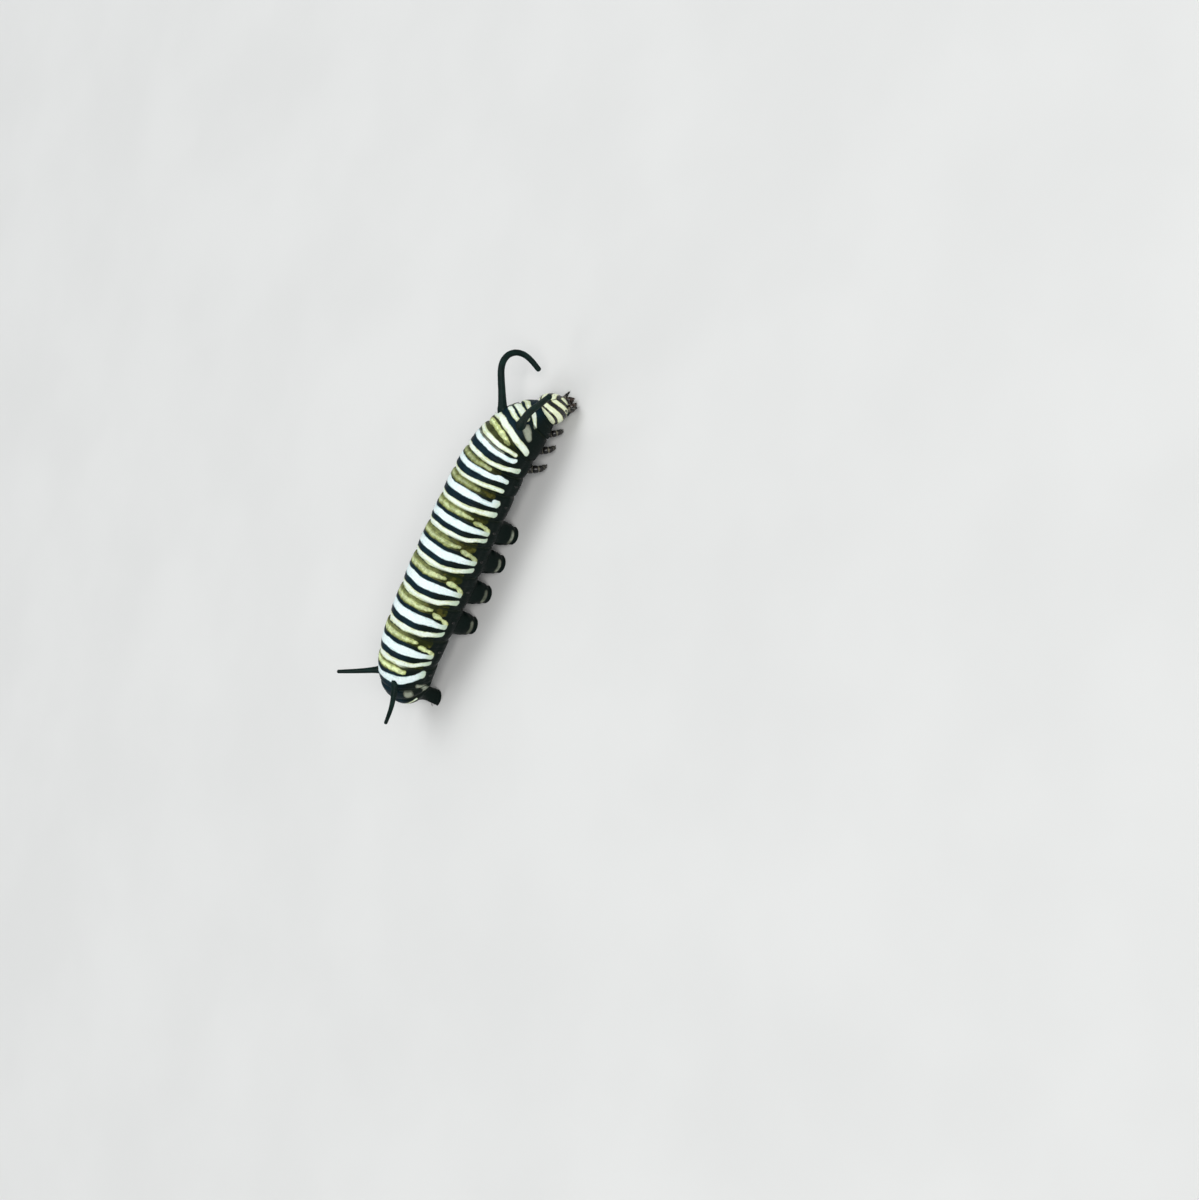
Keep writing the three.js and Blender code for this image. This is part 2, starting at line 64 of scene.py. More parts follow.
# value(x) = cubic pieces through one value a place; a place's slope is the harmonic mean of
# the two slopes beside it, or zero where they differ in sign
def smoothThrough(places, values):
    places, values = np.array(places, float), np.array(values, float)
    steps = np.diff(places)
    secants = np.diff(values)/steps
    before, after = secants[:-1], secants[1:]
    alike = before*after > 0
    inner = np.where(alike, 2*before*after/np.where(alike, before + after, 1), 0)
    slopes = np.concatenate([secants[:1], inner, secants[-1:]])

    def value(x):
        inside = np.clip(x, places[0], places[-1])
        i = np.clip(np.searchsorted(places, inside) - 1, 0, len(secants) - 1)
        t = (inside - places[i])/steps[i]
        rise = t*t*(3 - 2*t)
        bend = slopes[i]*t*(1 - t)**2 - slopes[i + 1]*t*t*(1 - t)
        return values[i]*(1 - rise) + values[i + 1]*rise + bend*steps[i]
    return value


# unit(v) = v/|v|
def unit(vectors):
    return vectors/np.maximum(np.linalg.norm(vectors, axis=-1, keepdims=True), 1e-9)


# step(x) = 3t^2 - 2t^3, where t runs from 0 to 1 between two edges
def smoothStep(low, high, x):
    t = np.clip((x - low)/(high - low), 0, 1)
    return t*t*(3 - 2*t)


# bell(x) = exp(-((x - middle)/spread)^2)
def bell(x, middle, spread):
    return np.exp(-((x - middle)/spread)**2)


# point of a line at a distance s along it, straight between its given points
def readLine(s, places, line):
    return np.stack([np.interp(s, places, line[:, k]) for k in range(3)], -1)


# equal angles once round, the first not repeated at the end
def equalTurns(count):
    return np.linspace(0, 2*np.pi, count, endpoint=False)


# ring(turn) = cos(turn) first + sin(turn) second
def ringOf(count, first, second):
    turn = equalTurns(count)[:, None]
    return np.cos(turn)*first + np.sin(turn)*second


halfWidthAt = smoothThrough(stations, bodyPlan["half"])
dipAt = smoothThrough(stations, bodyPlan["dip"])
turnAt = smoothThrough(stations, bodyPlan["turn"])


# tailwards = (sin turn cos dip, cos turn cos dip, sin dip), right = (-cos turn, sin turn, 0),
# back = tailwards x right
def axesAt(s):
    dip, turn = np.radians(dipAt(s)), np.radians(turnAt(s))
    tailwards = np.stack([np.sin(turn)*np.cos(dip), np.cos(turn)*np.cos(dip), np.sin(dip)], -1)
    right = np.stack([-np.cos(turn), np.sin(turn), np.zeros_like(turn)], -1)
    return tailwards, right, np.cross(tailwards, right)


# The axis is the running sum of the tailwards direction, placed by the solids' own boxes.
axisStep = bodyPlan["axisStep"]
axisStations = np.arange(0, bodyLength + axisStep, axisStep)
axisLine = np.cumsum(axesAt(axisStations[:-1] + axisStep/2)[0], axis=0)*axisStep
axisLine = np.concatenate([np.zeros((1, 3)), axisLine])
levelStation = stations[segmentNames.index(bodyPlan["levelSegment"])]
middleLow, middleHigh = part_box("abdomen_4")
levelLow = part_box(bodyPlan["levelSegment"])[0]
levelPoint = np.array([
    (middleLow.x + middleHigh.x)/2/mm, levelLow.y/mm - bodyPlan["gap"]/2, bodyPlan["axisHeight"]])
axisLine = axisLine - readLine(levelStation, axisStations, axisLine) + levelPoint


# axis(s) = point of that line, carried straight on in front of the neck
def axisAt(s):
    ahead = axesAt(np.zeros_like(s))[0]*np.minimum(s, 0)[..., None]
    return readLine(s, axisStations, axisLine) + ahead


# station = front edge of a segment + a share of its length
def stationOf(number, at):
    return np.array(stations[number] + at*segmentLengths[number])


# skin(s, around) = axis + right sin(around) half + back cos(around) half, the belly a bit flatter
def skinAt(s, around, half):
    right, back = axesAt(s)[1:]
    up = np.cos(around)*half
    flat = np.where(up > 0, bodyPlan["backRoundness"], bodyPlan["bellyRoundness"])
    return axisAt(s) + right*(np.sin(around)*half)[..., None] + back*(up*flat)[..., None]


# faces of a grid of rows round a closed loop: quads between rows, and a fan at each end
def gridFaces(rows, cols):
    i, j = np.meshgrid(np.arange(rows - 1), np.arange(cols), indexing="ij")
    k = (j + 1) % cols
    quads = np.stack([i*cols + j, i*cols + k, (i + 1)*cols + k, (i + 1)*cols + j], -1)
    j = np.arange(cols)
    k = (j + 1) % cols
    first, last, lastRow = rows*cols, rows*cols + 1, (rows - 1)*cols
    ends = np.concatenate([
        np.stack([k, j, np.full(cols, first)], -1),
        np.stack([j + lastRow, k + lastRow, np.full(cols, last)], -1)])
    return quads.reshape(-1, 4), ends


# points of such a grid, with the middle of its first and of its last row added
def gridPoints(grid):
    return np.concatenate([grid.reshape(-1, grid.shape[-1]), grid[:1].mean(1), grid[-1:].mean(1)])


# six times the volume inside a grid: the sum of a . (b x c) over its triangles
def gridVolume(points, quads, ends):
    tris = np.concatenate([quads[:, :3], quads[:, [0, 2, 3]], ends])
    a, b, c = (points[tris[:, k]] - points.mean(0) for k in range(3))
    return np.einsum("ij,ij->", a, np.cross(b, c))


# new object in the scene
def placeObject(name, data):
    made = bpy.data.objects.new(name, data)
    bpy.context.scene.collection.objects.link(made)
    return made


# new mesh object in metres from one or more grids, each turned outwards, riding on the root;
# marks give a value to each point of a piece with one grid, and patches a place to each point
def addGrids(name, grids, material, nodes=(), marks=None, patches=None):
    points, faces, start = [], [], 0
    for grid in grids:
        quads, ends = gridFaces(*grid.shape[:2])
        own = gridPoints(grid)
        if gridVolume(own, quads, ends) < 0:
            quads, ends = quads[:, ::-1], ends[:, ::-1]
        faces += (quads + start).tolist() + (ends + start).tolist()
        points.append(own)
        start += len(own)
    mesh = bpy.data.meshes.new(name)
    mesh.from_pydata((np.concatenate(points)*mm).tolist(), [], faces)
    mesh.polygons.foreach_set("use_smooth", np.ones(len(faces), bool))
    for mark, values in (marks or {}).items():
        values = gridPoints(values[..., None]).ravel().astype(np.float32)
        mesh.attributes.new(mark, "FLOAT", "POINT").data.foreach_set("value", values)
    if patches is not None:
        corners = np.empty(len(mesh.loops), np.int32)
        mesh.loops.foreach_get("vertex_index", corners)
        places = patches[corners].astype(np.float32).ravel()
        mesh.uv_layers.new(name="OFBake").data.foreach_set("uv", places)
    mesh.materials.append(material)
    mesh.update()
    piece = placeObject(name, mesh)
    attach(piece, "root")
    if nodes:
        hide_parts(*nodes)


# rings round a line: centre + radius (cos turn sideways + sin turn upwards), where sideways
# stands across the line's direction and the given one
def tubeGrid(line, radius, cols, across):
    direction = unit(np.gradient(line, axis=0))
    sideways = unit(np.cross(direction, across))
    ring = ringOf(cols, sideways[:, None], np.cross(sideways, direction)[:, None])
    radius = np.broadcast_to(np.array(radius).reshape(len(line), -1), (len(line), cols))
    return line[:, None] + ring*radius[..., None]


# one shader node with its settings, and its inputs, which are values or other outputs
def shaderNode(tree, kind, inputs=None, **settings):
    made = tree.nodes.new(kind)
    for key, value in settings.items():
        setattr(made, key, value)
    for key, value in (inputs or {}).items():
        if isinstance(value, bpy.types.NodeSocket):
            tree.links.new(value, made.inputs[key])
        else:
            made.inputs[key].default_value = value
    return made


# empty material: its node tree, its one shader, and the place in the object's own metres
def newMaterial(name):
    material = bpy.data.materials.new(name)
    material.use_nodes = True
    tree = material.node_tree
    tree.nodes.clear()
    output = tree.nodes.new("ShaderNodeOutputMaterial")
    shader = tree.nodes.new("ShaderNodeBsdfPrincipled")
    tree.links.new(shader.outputs[0], output.inputs[0])
    place = shaderNode(tree, "ShaderNodeTexCoord").outputs["Object"]
    return material, tree, shader, place


# noise(place scale), a sum of detail octaves, each roughness times the one before
def noiseAt(tree, place, scale, detail=3.0, roughness=0.5):
    return shaderNode(tree, "ShaderNodeTexNoise", {
        "Vector": place, "Scale": scale, "Detail": detail, "Roughness": roughness}).outputs["Fac"]


# new low + (new high - new low) t, where t runs from low to high, as a smooth step or evenly
def mapRange(tree, value, low, high, newLow=0.0, newHigh=1.0, kind="SMOOTHSTEP"):
    return shaderNode(tree, "ShaderNodeMapRange", {
        "Value": value, "From Min": low, "From Max": high, "To Min": newLow, "To Max": newHigh},
        interpolation_type=kind).outputs[0]


# first (1 - share) + second share
def mixColours(tree, share, first, second, blend="MIX"):
    return shaderNode(
        tree, "ShaderNodeMix", {0: share, 6: first, 7: second},
        data_type="RGBA", blend_type=blend).outputs[2]


# colour times a value
def shadeColour(tree, colour, value):
    return mixColours(tree, 1.0, colour, value, "MULTIPLY")


# first + second, or first times second
def addValues(tree, first, second, operation="ADD"):
    return shaderNode(tree, "ShaderNodeMath", {0: first, 1: second}, operation=operation).outputs[0]


# value of a mesh's own mark
def markOf(tree, name):
    return shaderNode(tree, "ShaderNodeAttribute", attribute_name=name).outputs["Fac"]


noiseSpan = (0.3, 0.7)  # most of a noise lies in here


# colour linked, roughness by the flecks, relief = depth noise(grain), and the look's constants
def finishMaterial(tree, shader, place, look, colour, fleck, rougher=None):
    roughness = mapRange(tree, fleck, *noiseSpan, *look["rough"])
    if rougher is not None:
        roughness = addValues(tree, roughness, rougher)
    strength, depth = look["relief"]
    relief = shaderNode(tree, "ShaderNodeBump", {
        "Height": noiseAt(tree, place, *look["grain"]), "Strength": strength, "Distance": depth})
    for value, label in ((colour, "Base Color"), (roughness, "Roughness"), (relief.outputs[0], "Normal")):
        tree.links.new(value, shader.inputs[label])
    for label, value in look["surface"].items():
        shader.inputs[label].default_value = value


skinColours = {
    # black and blackWorn are black with a painted bluish sheen of the sky; flankBlack is the darker,
    # greener black of the flanks, without that painted sheen
    "black": (0.0010, 0.0100, 0.0170, 1), "blackWorn": (0.0034, 0.0200, 0.0300, 1),
    "flankBlack": (0.0012, 0.0060, 0.0045, 1), "flankOlive": (0.024, 0.030, 0.004, 1),
    "flankBrown": (0.095, 0.090, 0.015, 1), "foot": (0.56, 0.68, 0.53, 1),
    "olive": (0.145, 0.160, 0.050, 1), "oliveCore": (0.21, 0.235, 0.085, 1),
    "yellow": (0.40, 0.45, 0.17, 1), "yellowCore": (0.70, 0.79, 0.42, 1),
    "cream": (0.66, 0.73, 0.46, 1), "creamCore": (0.88, 0.97, 0.84, 1),
    "white": (0.62, 0.78, 0.78, 1), "whiteCore": (0.86, 0.98, 0.97, 1),
    "grey": (0.10, 0.11, 0.080, 1), "greyCore": (0.33, 0.36, 0.28, 1),
    # the colour of the painted shade in the folds and creases
    "creaseShadow": (0.010, 0.016, 0.010, 1),
}
# Pairs named From and Span run from none to full, a From in degrees from the top of the back and
# a Span in the noise's or the mark's own values. Widths, depths and softness are in mm on the
# skin, a noise is its waves a metre, octaves and roughness, and relief its strength and metres.
skinPaint = {
    # flankFrom: where the black's painted bluish sheen gives way to the flanks' darker black
    "flankFrom": (28, 66), "oliveFrom": (22, 57), "footFrom": (72, 96),
    "fleck": (900.0, 4.0), "wornSpan": (0.35, 0.7), "brownSpan": (0.5, 0.66), "unevenDepth": 0.13,
    "wobble": (2000.0, 2.0), "wobbleWidth": 0.022, "raggedness": 2.3, "edgeSoftness": 0.045,
    "blotch": (1900.0, 5.0, 0.6), "blotchSpan": (0.38, 0.6), "blotchShade": 0.62,
    # the crease span and shade: how the painted shade in the folds and creases grows from the crease
    # mark, and how dark it gets
    "mottle": (3600.0, 3.0), "mottleShade": 0.88, "creaseShadowSpan": (0.1, 1.0), "creaseShadowAmount": 0.8,
    "rough": (0.42, 0.60), "grain": (6500.0, 4.0, 0.6), "relief": (0.3, 0.00004),
    "surface": {"Specular IOR Level": 0.10, "Subsurface Weight": 0.06, "Subsurface Scale": 0.0003},
}
# mark of each band, then how far in from its edge, in mm, its core colour is reached
skinLayers = (("olive", 0.22), ("grey", 0.30), ("yellow", 0.24), ("cream", 0.18), ("white", 0.14))


# colour = black, then each band's colour laid over it where its edge distance is positive,
# paler from its edge to its core, and darkened by painted shade in the folds and creases
def makeSkinMaterial():
    material, tree, shader, place = newMaterial("banded_skin")
    colours, look = skinColours, skinPaint
    fleck, wobble, blotch, mottle = (
        noiseAt(tree, place, *look[key]) for key in ("fleck", "wobble", "blotch", "mottle"))
    width, depth = look["wobbleWidth"], look["unevenDepth"]
    wobble = mapRange(tree, wobble, *noiseSpan, -width, width, "LINEAR")
    ragged = addValues(tree, wobble, look["raggedness"], "MULTIPLY")
    uneven = mapRange(tree, fleck, *noiseSpan, -depth, depth, "LINEAR")
    blotch = mapRange(tree, blotch, *look["blotchSpan"], look["blotchShade"], 1.0)
    mottle = mapRange(tree, mottle, *noiseSpan, look["mottleShade"], 1.0, "LINEAR")
    degreesRound = addValues(tree, markOf(tree, "around"), 180.0, "MULTIPLY")
    flank, lowOlive, foot = (
        mapRange(tree, degreesRound, *look[key]) for key in ("flankFrom", "oliveFrom", "footFrom"))
    worn = mapRange(tree, fleck, *look["wornSpan"])
    brown = mapRange(tree, fleck, *look["brownSpan"])
    # painted sheen: the black is tinted navy by a painted bluish sheen of the sky, which gives way on the
    # flanks to a darker, greener black
    colour = mixColours(tree, worn, colours["black"], colours["blackWorn"])
    colour = mixColours(tree, flank, colour, colours["flankBlack"])
    soft = look["edgeSoftness"]
    for band, coreDepth in skinLayers:
        isRough = band in ("olive", "yellow")
        distance = addValues(tree, markOf(tree, band), ragged if isRough else wobble)
        core = mapRange(tree, addValues(tree, distance, uneven), 0.0, coreDepth)
        shade = mixColours(tree, core, colours[band], colours[band + "Core"])
        if band == "olive":
            dark = mixColours(tree, brown, colours["flankOlive"], colours["flankBrown"])
            shade = shadeColour(tree, shade, markOf(tree, "oliveLight"))
            shade = mixColours(tree, lowOlive, shade, dark)
        if band == "yellow":
            shade = shadeColour(tree, shade, markOf(tree, "vivid"))
        if isRough:
            shade = shadeColour(tree, shade, blotch)
        if band in ("cream", "white"):
            shade = mixColours(tree, foot, shade, colours["foot"])
        colour = mixColours(tree, mapRange(tree, distance, -soft, soft), colour, shade)
    colour = shadeColour(tree, colour, mottle)
    # painted shade: the colour darkened towards the crease colour in the folds and creases, the more the
    # crease mark
    creaseShadow = mapRange(tree, markOf(tree, "creaseShadow"), *look["creaseShadowSpan"])
    creaseShadow = addValues(tree, creaseShadow, look["creaseShadowAmount"], "MULTIPLY")
    colour = mixColours(tree, creaseShadow, colour, colours["creaseShadow"])
    finishMaterial(tree, shader, place, look, colour, fleck)
    return material


# Flesh, horn, lens, hair and limb: two close colours, and each one's own gloss and grain.
plainLooks = {
    "black_flesh": {
        "deep": (0.0012, 0.0085, 0.0070, 1), "worn": (0.004, 0.019, 0.015, 1), "fleck": (1400.0, 4.0),
        "rough": (0.42, 0.58), "specular": 0.12, "coat": 0.0, "grain": (9000.0,), "bump": 0.3},
    "black_horn": {
        "deep": (0.0035, 0.0040, 0.0045, 1), "worn": (0.020, 0.012, 0.007, 1), "fleck": (2500.0, 4.0),
        "rough": (0.20, 0.34), "specular": 0.45, "coat": 0.25, "grain": (12000.0,), "bump": 0.15},
    "brown_horn": {
        "deep": (0.008, 0.005, 0.003, 1), "worn": (0.045, 0.021, 0.010, 1), "fleck": (3000.0, 4.0),
        "rough": (0.22, 0.36), "specular": 0.45, "coat": 0.25, "grain": (14000.0,), "bump": 0.15},
    "eye_lens": {
        "deep": (0.0015, 0.0015, 0.0020, 1), "worn": (0.006, 0.005, 0.005, 1), "fleck": (3000.0, 4.0),
        "rough": (0.05, 0.09), "specular": 0.5, "coat": 1.0, "grain": (3000.0,), "bump": 0.02},
    "fine_hair": {
        "deep": (0.010, 0.009, 0.008, 1), "worn": (0.05, 0.04, 0.03, 1), "fleck": (1500.0, 4.0),
        "rough": (0.35, 0.5), "specular": 0.3, "coat": 0.0, "grain": (9000.0,), "bump": 0.05},
    "jointed_limb": {
        "deep": (0.0040, 0.0045, 0.0050, 1), "worn": (0.016, 0.013, 0.010, 1), "fleck": (2200.0, 4.0),
        "rough": (0.22, 0.36), "specular": 0.4, "coat": 0.0, "grain": (11000.0,), "bump": 0.2},
}
wornSpan = (0.4, 0.72)  # noise at which the worn colour starts and is full
coatRoughness = 0.1
plainRelief = 0.00003  # metres
# dull paler membrane of a jointed limb, where its mark is above a half
membraneLook = {
    "on": "jointed_limb", "deep": (0.075, 0.070, 0.052, 1), "worn": (0.15, 0.14, 0.10, 1),
    "wornSpan": (0.35, 0.7), "markSpan": (0.35, 0.65), "rougher": 0.3,
}


# colour = deep (1 - worn share) + worn (worn share), the share from the flecks
def makePlainMaterial(name):
    material, tree, shader, place = newMaterial(name)
    own, soft = plainLooks[name], membraneLook
    look = {**own, "relief": (own["bump"], plainRelief), "surface": {
        "Specular IOR Level": own["specular"], "Coat Weight": own["coat"],
        "Coat Roughness": coatRoughness}}
    fleck = noiseAt(tree, place, *own["fleck"])
    colour = mixColours(tree, mapRange(tree, fleck, *wornSpan), own["deep"], own["worn"])
    rougher = None
    if name == soft["on"]:
        isSoft = mapRange(tree, markOf(tree, "membrane"), *soft["markSpan"])
        worn = mapRange(tree, fleck, *soft["wornSpan"])
        colour = mixColours(tree, isSoft, colour, mixColours(tree, worn, soft["deep"], soft["worn"]))
        rougher = addValues(tree, isSoft, soft["rougher"], "MULTIPLY")
    finishMaterial(tree, shader, place, look, colour, fleck, rougher)
    return material


headPaint = {
    "pale": (0.58, 0.60, 0.28, 1), "paleCore": (0.82, 0.88, 0.62, 1),
    "black": (0.0040, 0.0048, 0.0055, 1), "blackWorn": (0.012, 0.013, 0.014, 1),
    "fleck": (1500.0,), "wornSpan": (0.4, 0.7), "wobble": (4200.0,), "wobbleWidth": 0.02,
    # the groove span and shade: how the painted shade in the face's seam grooves grows from the groove
    # mark, and how dark it gets
    "coreDepth": 0.12, "edgeSoftness": 0.02, "grooveShadowSpan": (0.2, 0.9), "grooveShadowAmount": 0.85,
    "rough": (0.24, 0.38), "grain": (7000.0, 4.0), "relief": (0.2, 0.00004),
    "surface": {"Specular IOR Level": 0.4, "Coat Weight": 0.3, "Coat Roughness": 0.15},
}


# head shell: glossy black and pale, parted where the edge distance crosses zero, and darkened by painted
# shade in the seam's grooves
def makeHeadMaterial():
    material, tree, shader, place = newMaterial("head_shell")
    look = headPaint
    fleck, wobble = (noiseAt(tree, place, *look[key]) for key in ("fleck", "wobble"))
    width, soft = look["wobbleWidth"], look["edgeSoftness"]
    edge = addValues(
        tree, markOf(tree, "paleEdge"), mapRange(tree, wobble, *noiseSpan, -width, width, "LINEAR"))
    core, worn = mapRange(tree, edge, 0.0, look["coreDepth"]), mapRange(tree, fleck, *look["wornSpan"])
    pale = mixColours(tree, core, look["pale"], look["paleCore"])
    black = mixColours(tree, worn, look["black"], look["blackWorn"])
    colour = mixColours(tree, mapRange(tree, edge, -soft, soft), black, pale)
    # painted shade: the colour darkened towards black in the seam's grooves, the more the groove mark
    groove = mapRange(tree, markOf(tree, "groove"), *look["grooveShadowSpan"])
    groove = addValues(tree, groove, look["grooveShadowAmount"], "MULTIPLY")
    colour = mixColours(tree, groove, colour, look["black"])
    finishMaterial(tree, shader, place, look, colour, fleck)
    return material


skinMaterial = makeSkinMaterial()
headMaterial = makeHeadMaterial()
plainMaterials = {name: makePlainMaterial(name) for name in plainLooks}
print("materials made")

# Sizes in mm, angles in degrees. Creases: place in the segment, depth. Waves: height, number of
# waves round the body, and how far each next segment's are turned. Ridge and groove: angle,
# spread, height. Vivid and oliveLight: how bright the yellow and the olive are, one a segment.
skinLook = {
    "rows": 500, "tailRows": 36, "neckRows": 10, "cols": 196, "fineSteps": 4001,
    "sideDensity": 1.5, "sideMiddle": 142, "sideSpread": 28, "neckLength": 0.55,
    "neckDraw": 0.30, "neckPower": 1.5, "tailEnd": 0.985,
    "swell": 0.035, "foldDepth": 0.21, "foldWidth": 0.14,
    "foldWaves": [(0.03, 3, 2.1), (0.02, 7, 4.7)], "flankFrom": (20, 60), "bellyFrom": (100, 170),
    # The two shade values here set the painted shade in the folds and creases: its share on the back and
    # its strength in the shallow creases.
    "backFold": 0.6, "bellyFold": 0.65, "backShadowShare": 0.45, "creaseWidth": 0.075, "creaseShadowAmount": 0.28,
    "creases": [(0.245, 0.05), (0.36, 0.03), (0.52, 0.025), (0.66, 0.05), (0.81, 0.045)],
    "creaseSway": [(0.05, 2, 3.1)], "creaseSwayStep": 1.7, "creaseWaves": [(0.3, 3, 1)],
    "creaseStrength": 0.7, "ridge": (118, 11, 0.10), "groove": (103, 6, 0.07),
    "bandWaves": [(0.010, 4, 1.3), (0.007, 9, 2.9)], "bandOverlap": 0.6,
    "cornerShare": 0.45, "cornerMost": 0.35,
    "vivid": [1.0, 1.45, 1.0, 0.72, 0.78, 1.0, 0.84, 1.02, 1.0, 1.16, 1.26, 1.0, 1.0],
    "oliveLight": [0.3, 0.3, 0.35, 1.1, 1.0, 1.0, 1.0, 1.0, 1.0, 1.0, 0.7, 0.7, 0.7],
}

# Bands: colour, the angles from the top of the back at which the band starts and ends, then its
# edges: an angle, and the front and rear edge there as shares of the segment. A start of -9 lies
# past the top of the back, where the two sides join.
usualBands = [
    ("olive", (-9, 86), [(0, 0, 0.29), (40, -0.01, 0.28), (62, -0.06, 0.26), (84, -0.14, 0.18)]),
    ("yellow", (-9, 60), [(0, 0.09, 0.255), (30, 0.095, 0.26), (45, 0.09, 0.225), (60, 0.10, 0.185)]),
    ("yellow", (61, 99), [(61, 0.18, 0.28), (68, 0.165, 0.32), (75, 0.19, 0.33), (80, 0.23, 0.33),
                          (88, 0.27, 0.44), (98, 0.36, 0.55)]),
    ("white", (-9, 99), [(0, 0.395, 0.64), (20, 0.405, 0.65), (40, 0.39, 0.65), (57, 0.38, 0.61),
                         (82, 0.42, 0.565)]),
    ("cream", (-9, 101), [(0, 0.825, 1.01), (22, 0.83, 1.015), (40, 0.83, 1.01), (57, 0.805, 0.985),
                          (80, 0.71, 0.85), (98, 0.64, 0.80)]),
]
# how much further back the bands sit on a segment, as a share of it
bandShift = {"abdomen_3": -0.03, "abdomen_5": 0.03, "abdomen_6": 0.045, "abdomen_7": 0.085}
bandsOf = {
    "thorax_1": [
        ("cream", (-9, 61), [(0, 0.33, 0.69), (22, 0.28, 0.64), (40, 0.47, 0.80), (58, 0.85, 1.12)])],
    "thorax_2": [
        ("olive", (-9, 77), [(0, 0.72, 1.18), (40, 0.78, 1.18), (60, 0.9, 1.12), (76, 1.0, 1.1)]),
        ("grey", (38, 73), [(40, 0.05, 0.32), (55, 0.12, 0.42), (70, 0.29, 0.51)]),
        ("cream", (-9, 35), [(0, -0.06, 0.14), (35, -0.04, 0.15)]),
        ("cream", (-9, 33), [(0, 0.225, 0.36), (25, 0.21, 0.335)]),
        ("cream", (-9, 90), [(0, 0.53, 0.72), (40, 0.56, 0.77), (60, 0.60, 0.83), (80, 0.67, 0.91),
                             (92, 0.74, 0.96)]),
        ("yellow", (-9, 50), [(0, 0.80, 0.965), (20, 0.80, 0.98), (40, 0.86, 1.01), (50, 0.93, 1.03)])],
    "thorax_3": [
        ("cream", (-9, 73), [(0, 0.15, 0.31), (40, 0.11, 0.27), (60, 0.07, 0.22), (74, 0.05, 0.2)]),
        ("grey", (-9, 52), [(0, 0.32, 0.41), (60, 0.30, 0.38)]),
        ("white", (-9, 79), [(0, 0.39, 0.57), (40, 0.38, 0.55), (60, 0.35, 0.53), (79, 0.20, 0.43)]),
        ("cream", (-9, 100), [(0, 0.80, 0.975), (40, 0.80, 0.97), (60, 0.74, 0.93), (80, 0.62, 0.82),
                              (95, 0.52, 0.78)])],
    "abdomen_1": [
        ("olive", (-9, 68), [(0, 0, 0.26), (60, -0.01, 0.22)]),
        ("yellow", (-9, 50), [(0, 0.06, 0.22), (55, 0.05, 0.18)]),
        ("white", (-9, 88), [(0, 0.31, 0.535), (20, 0.285, 0.525), (40, 0.27, 0.51), (57, 0.24, 0.465),
                             (66, 0.15, 0.43), (80, 0.19, 0.39)]),
        ("cream", (-9, 88), [(0, 0.835, 1.0), (20, 0.81, 0.99), (40, 0.765, 0.97), (60, 0.70, 0.90),
                             (80, 0.66, 0.86)])],
    "abdomen_2": [
        ("olive", (-9, 78), [(0, 0, 0.25), (60, -0.03, 0.24), (76, -0.08, 0.18)]),
        ("yellow", (-9, 50), [(0, 0.06, 0.20), (55, 0.05, 0.18)]),
        ("white", (-9, 90), [(0, 0.30, 0.54), (20, 0.28, 0.55), (40, 0.275, 0.525), (60, 0.33, 0.51),
                             (80, 0.31, 0.47)]),
        ("white", (75, 92), [(74, 0.15, 0.40), (90, 0.19, 0.45)]),
        ("cream", (-9, 97), [(0, 0.81, 1.005), (20, 0.80, 1.0), (40, 0.78, 0.99), (60, 0.72, 0.91),
                             (80, 0.64, 0.85)])],
    "abdomen_8": [
        ("olive", (-9, 86), [(0, 0.08, 0.39), (40, 0.04, 0.38), (60, -0.03, 0.13), (84, -0.08, 0.05)]),
        ("yellow", (-9, 56), [(0, 0.165, 0.35), (40, 0.165, 0.35), (56, 0.20, 0.33)]),
        ("white", (-9, 96), [(0, 0.53, 0.715), (20, 0.50, 0.73), (34, 0.47, 0.755), (50, 0.43, 0.71),
                             (70, 0.31, 0.60), (86, 0.13, 0.46)]),
        ("grey", (78, 112), [(72, 0.62, 0.80), (110, 0.95, 1.25)])],
    "abdomen_9": [
        ("grey", (52, 74), [(50, 0.0, 0.7), (80, 0.0, 0.8)]),
        ("grey", (96, 118), [(90, 0.1, 0.9), (118, 0.3, 1.2)])],
    "abdomen_10": [("cream", (16, 80), [(10, 0.52, 0.62), (45, 0.34, 0.47), (80, 0.10, 0.26)])],
}


# angles round the body, set closer together at the prolegs: equal steps of the running sum of
# 1 + density bell(|around|, middle, spread)
def roundAngles():
    fine = np.linspace(-np.pi, np.pi, skinLook["fineSteps"])
    close = bell(np.abs(np.degrees(fine)), skinLook["sideMiddle"], skinLook["sideSpread"])
    run = np.cumsum(1 + skinLook["sideDensity"]*close)
    run = (run - run[0])/(run[-1] - run[0])
    return np.interp(np.arange(skinLook["cols"])/skinLook["cols"], run, fine)


# edge distance of one band, in mm and positive inside: a strip with rounded ends in the
# flattened skin, whose long edges are smooth curves through the band's edge points
def bandDistance(reach, bandEdges, share, degrees, length, half):
    angle, front, rear = zip(*bandEdges)
    front, rear = smoothThrough(angle, front)(degrees), smoothThrough(angle, rear)(degrees)
    across = (np.abs(share - (front + rear)/2) - (rear - front)/2)*length
    along = np.maximum(degrees - reach[1], reach[0] - degrees)*np.radians(half)
    corner = np.minimum(skinLook["cornerShare"]*(rear - front)*length, skinLook["cornerMost"])
    a, b = across + corner, along + corner
    outside = np.hypot(np.maximum(a, 0), np.maximum(b, 0)) - corner
    return -(np.minimum(np.maximum(a, b), 0) + outside)


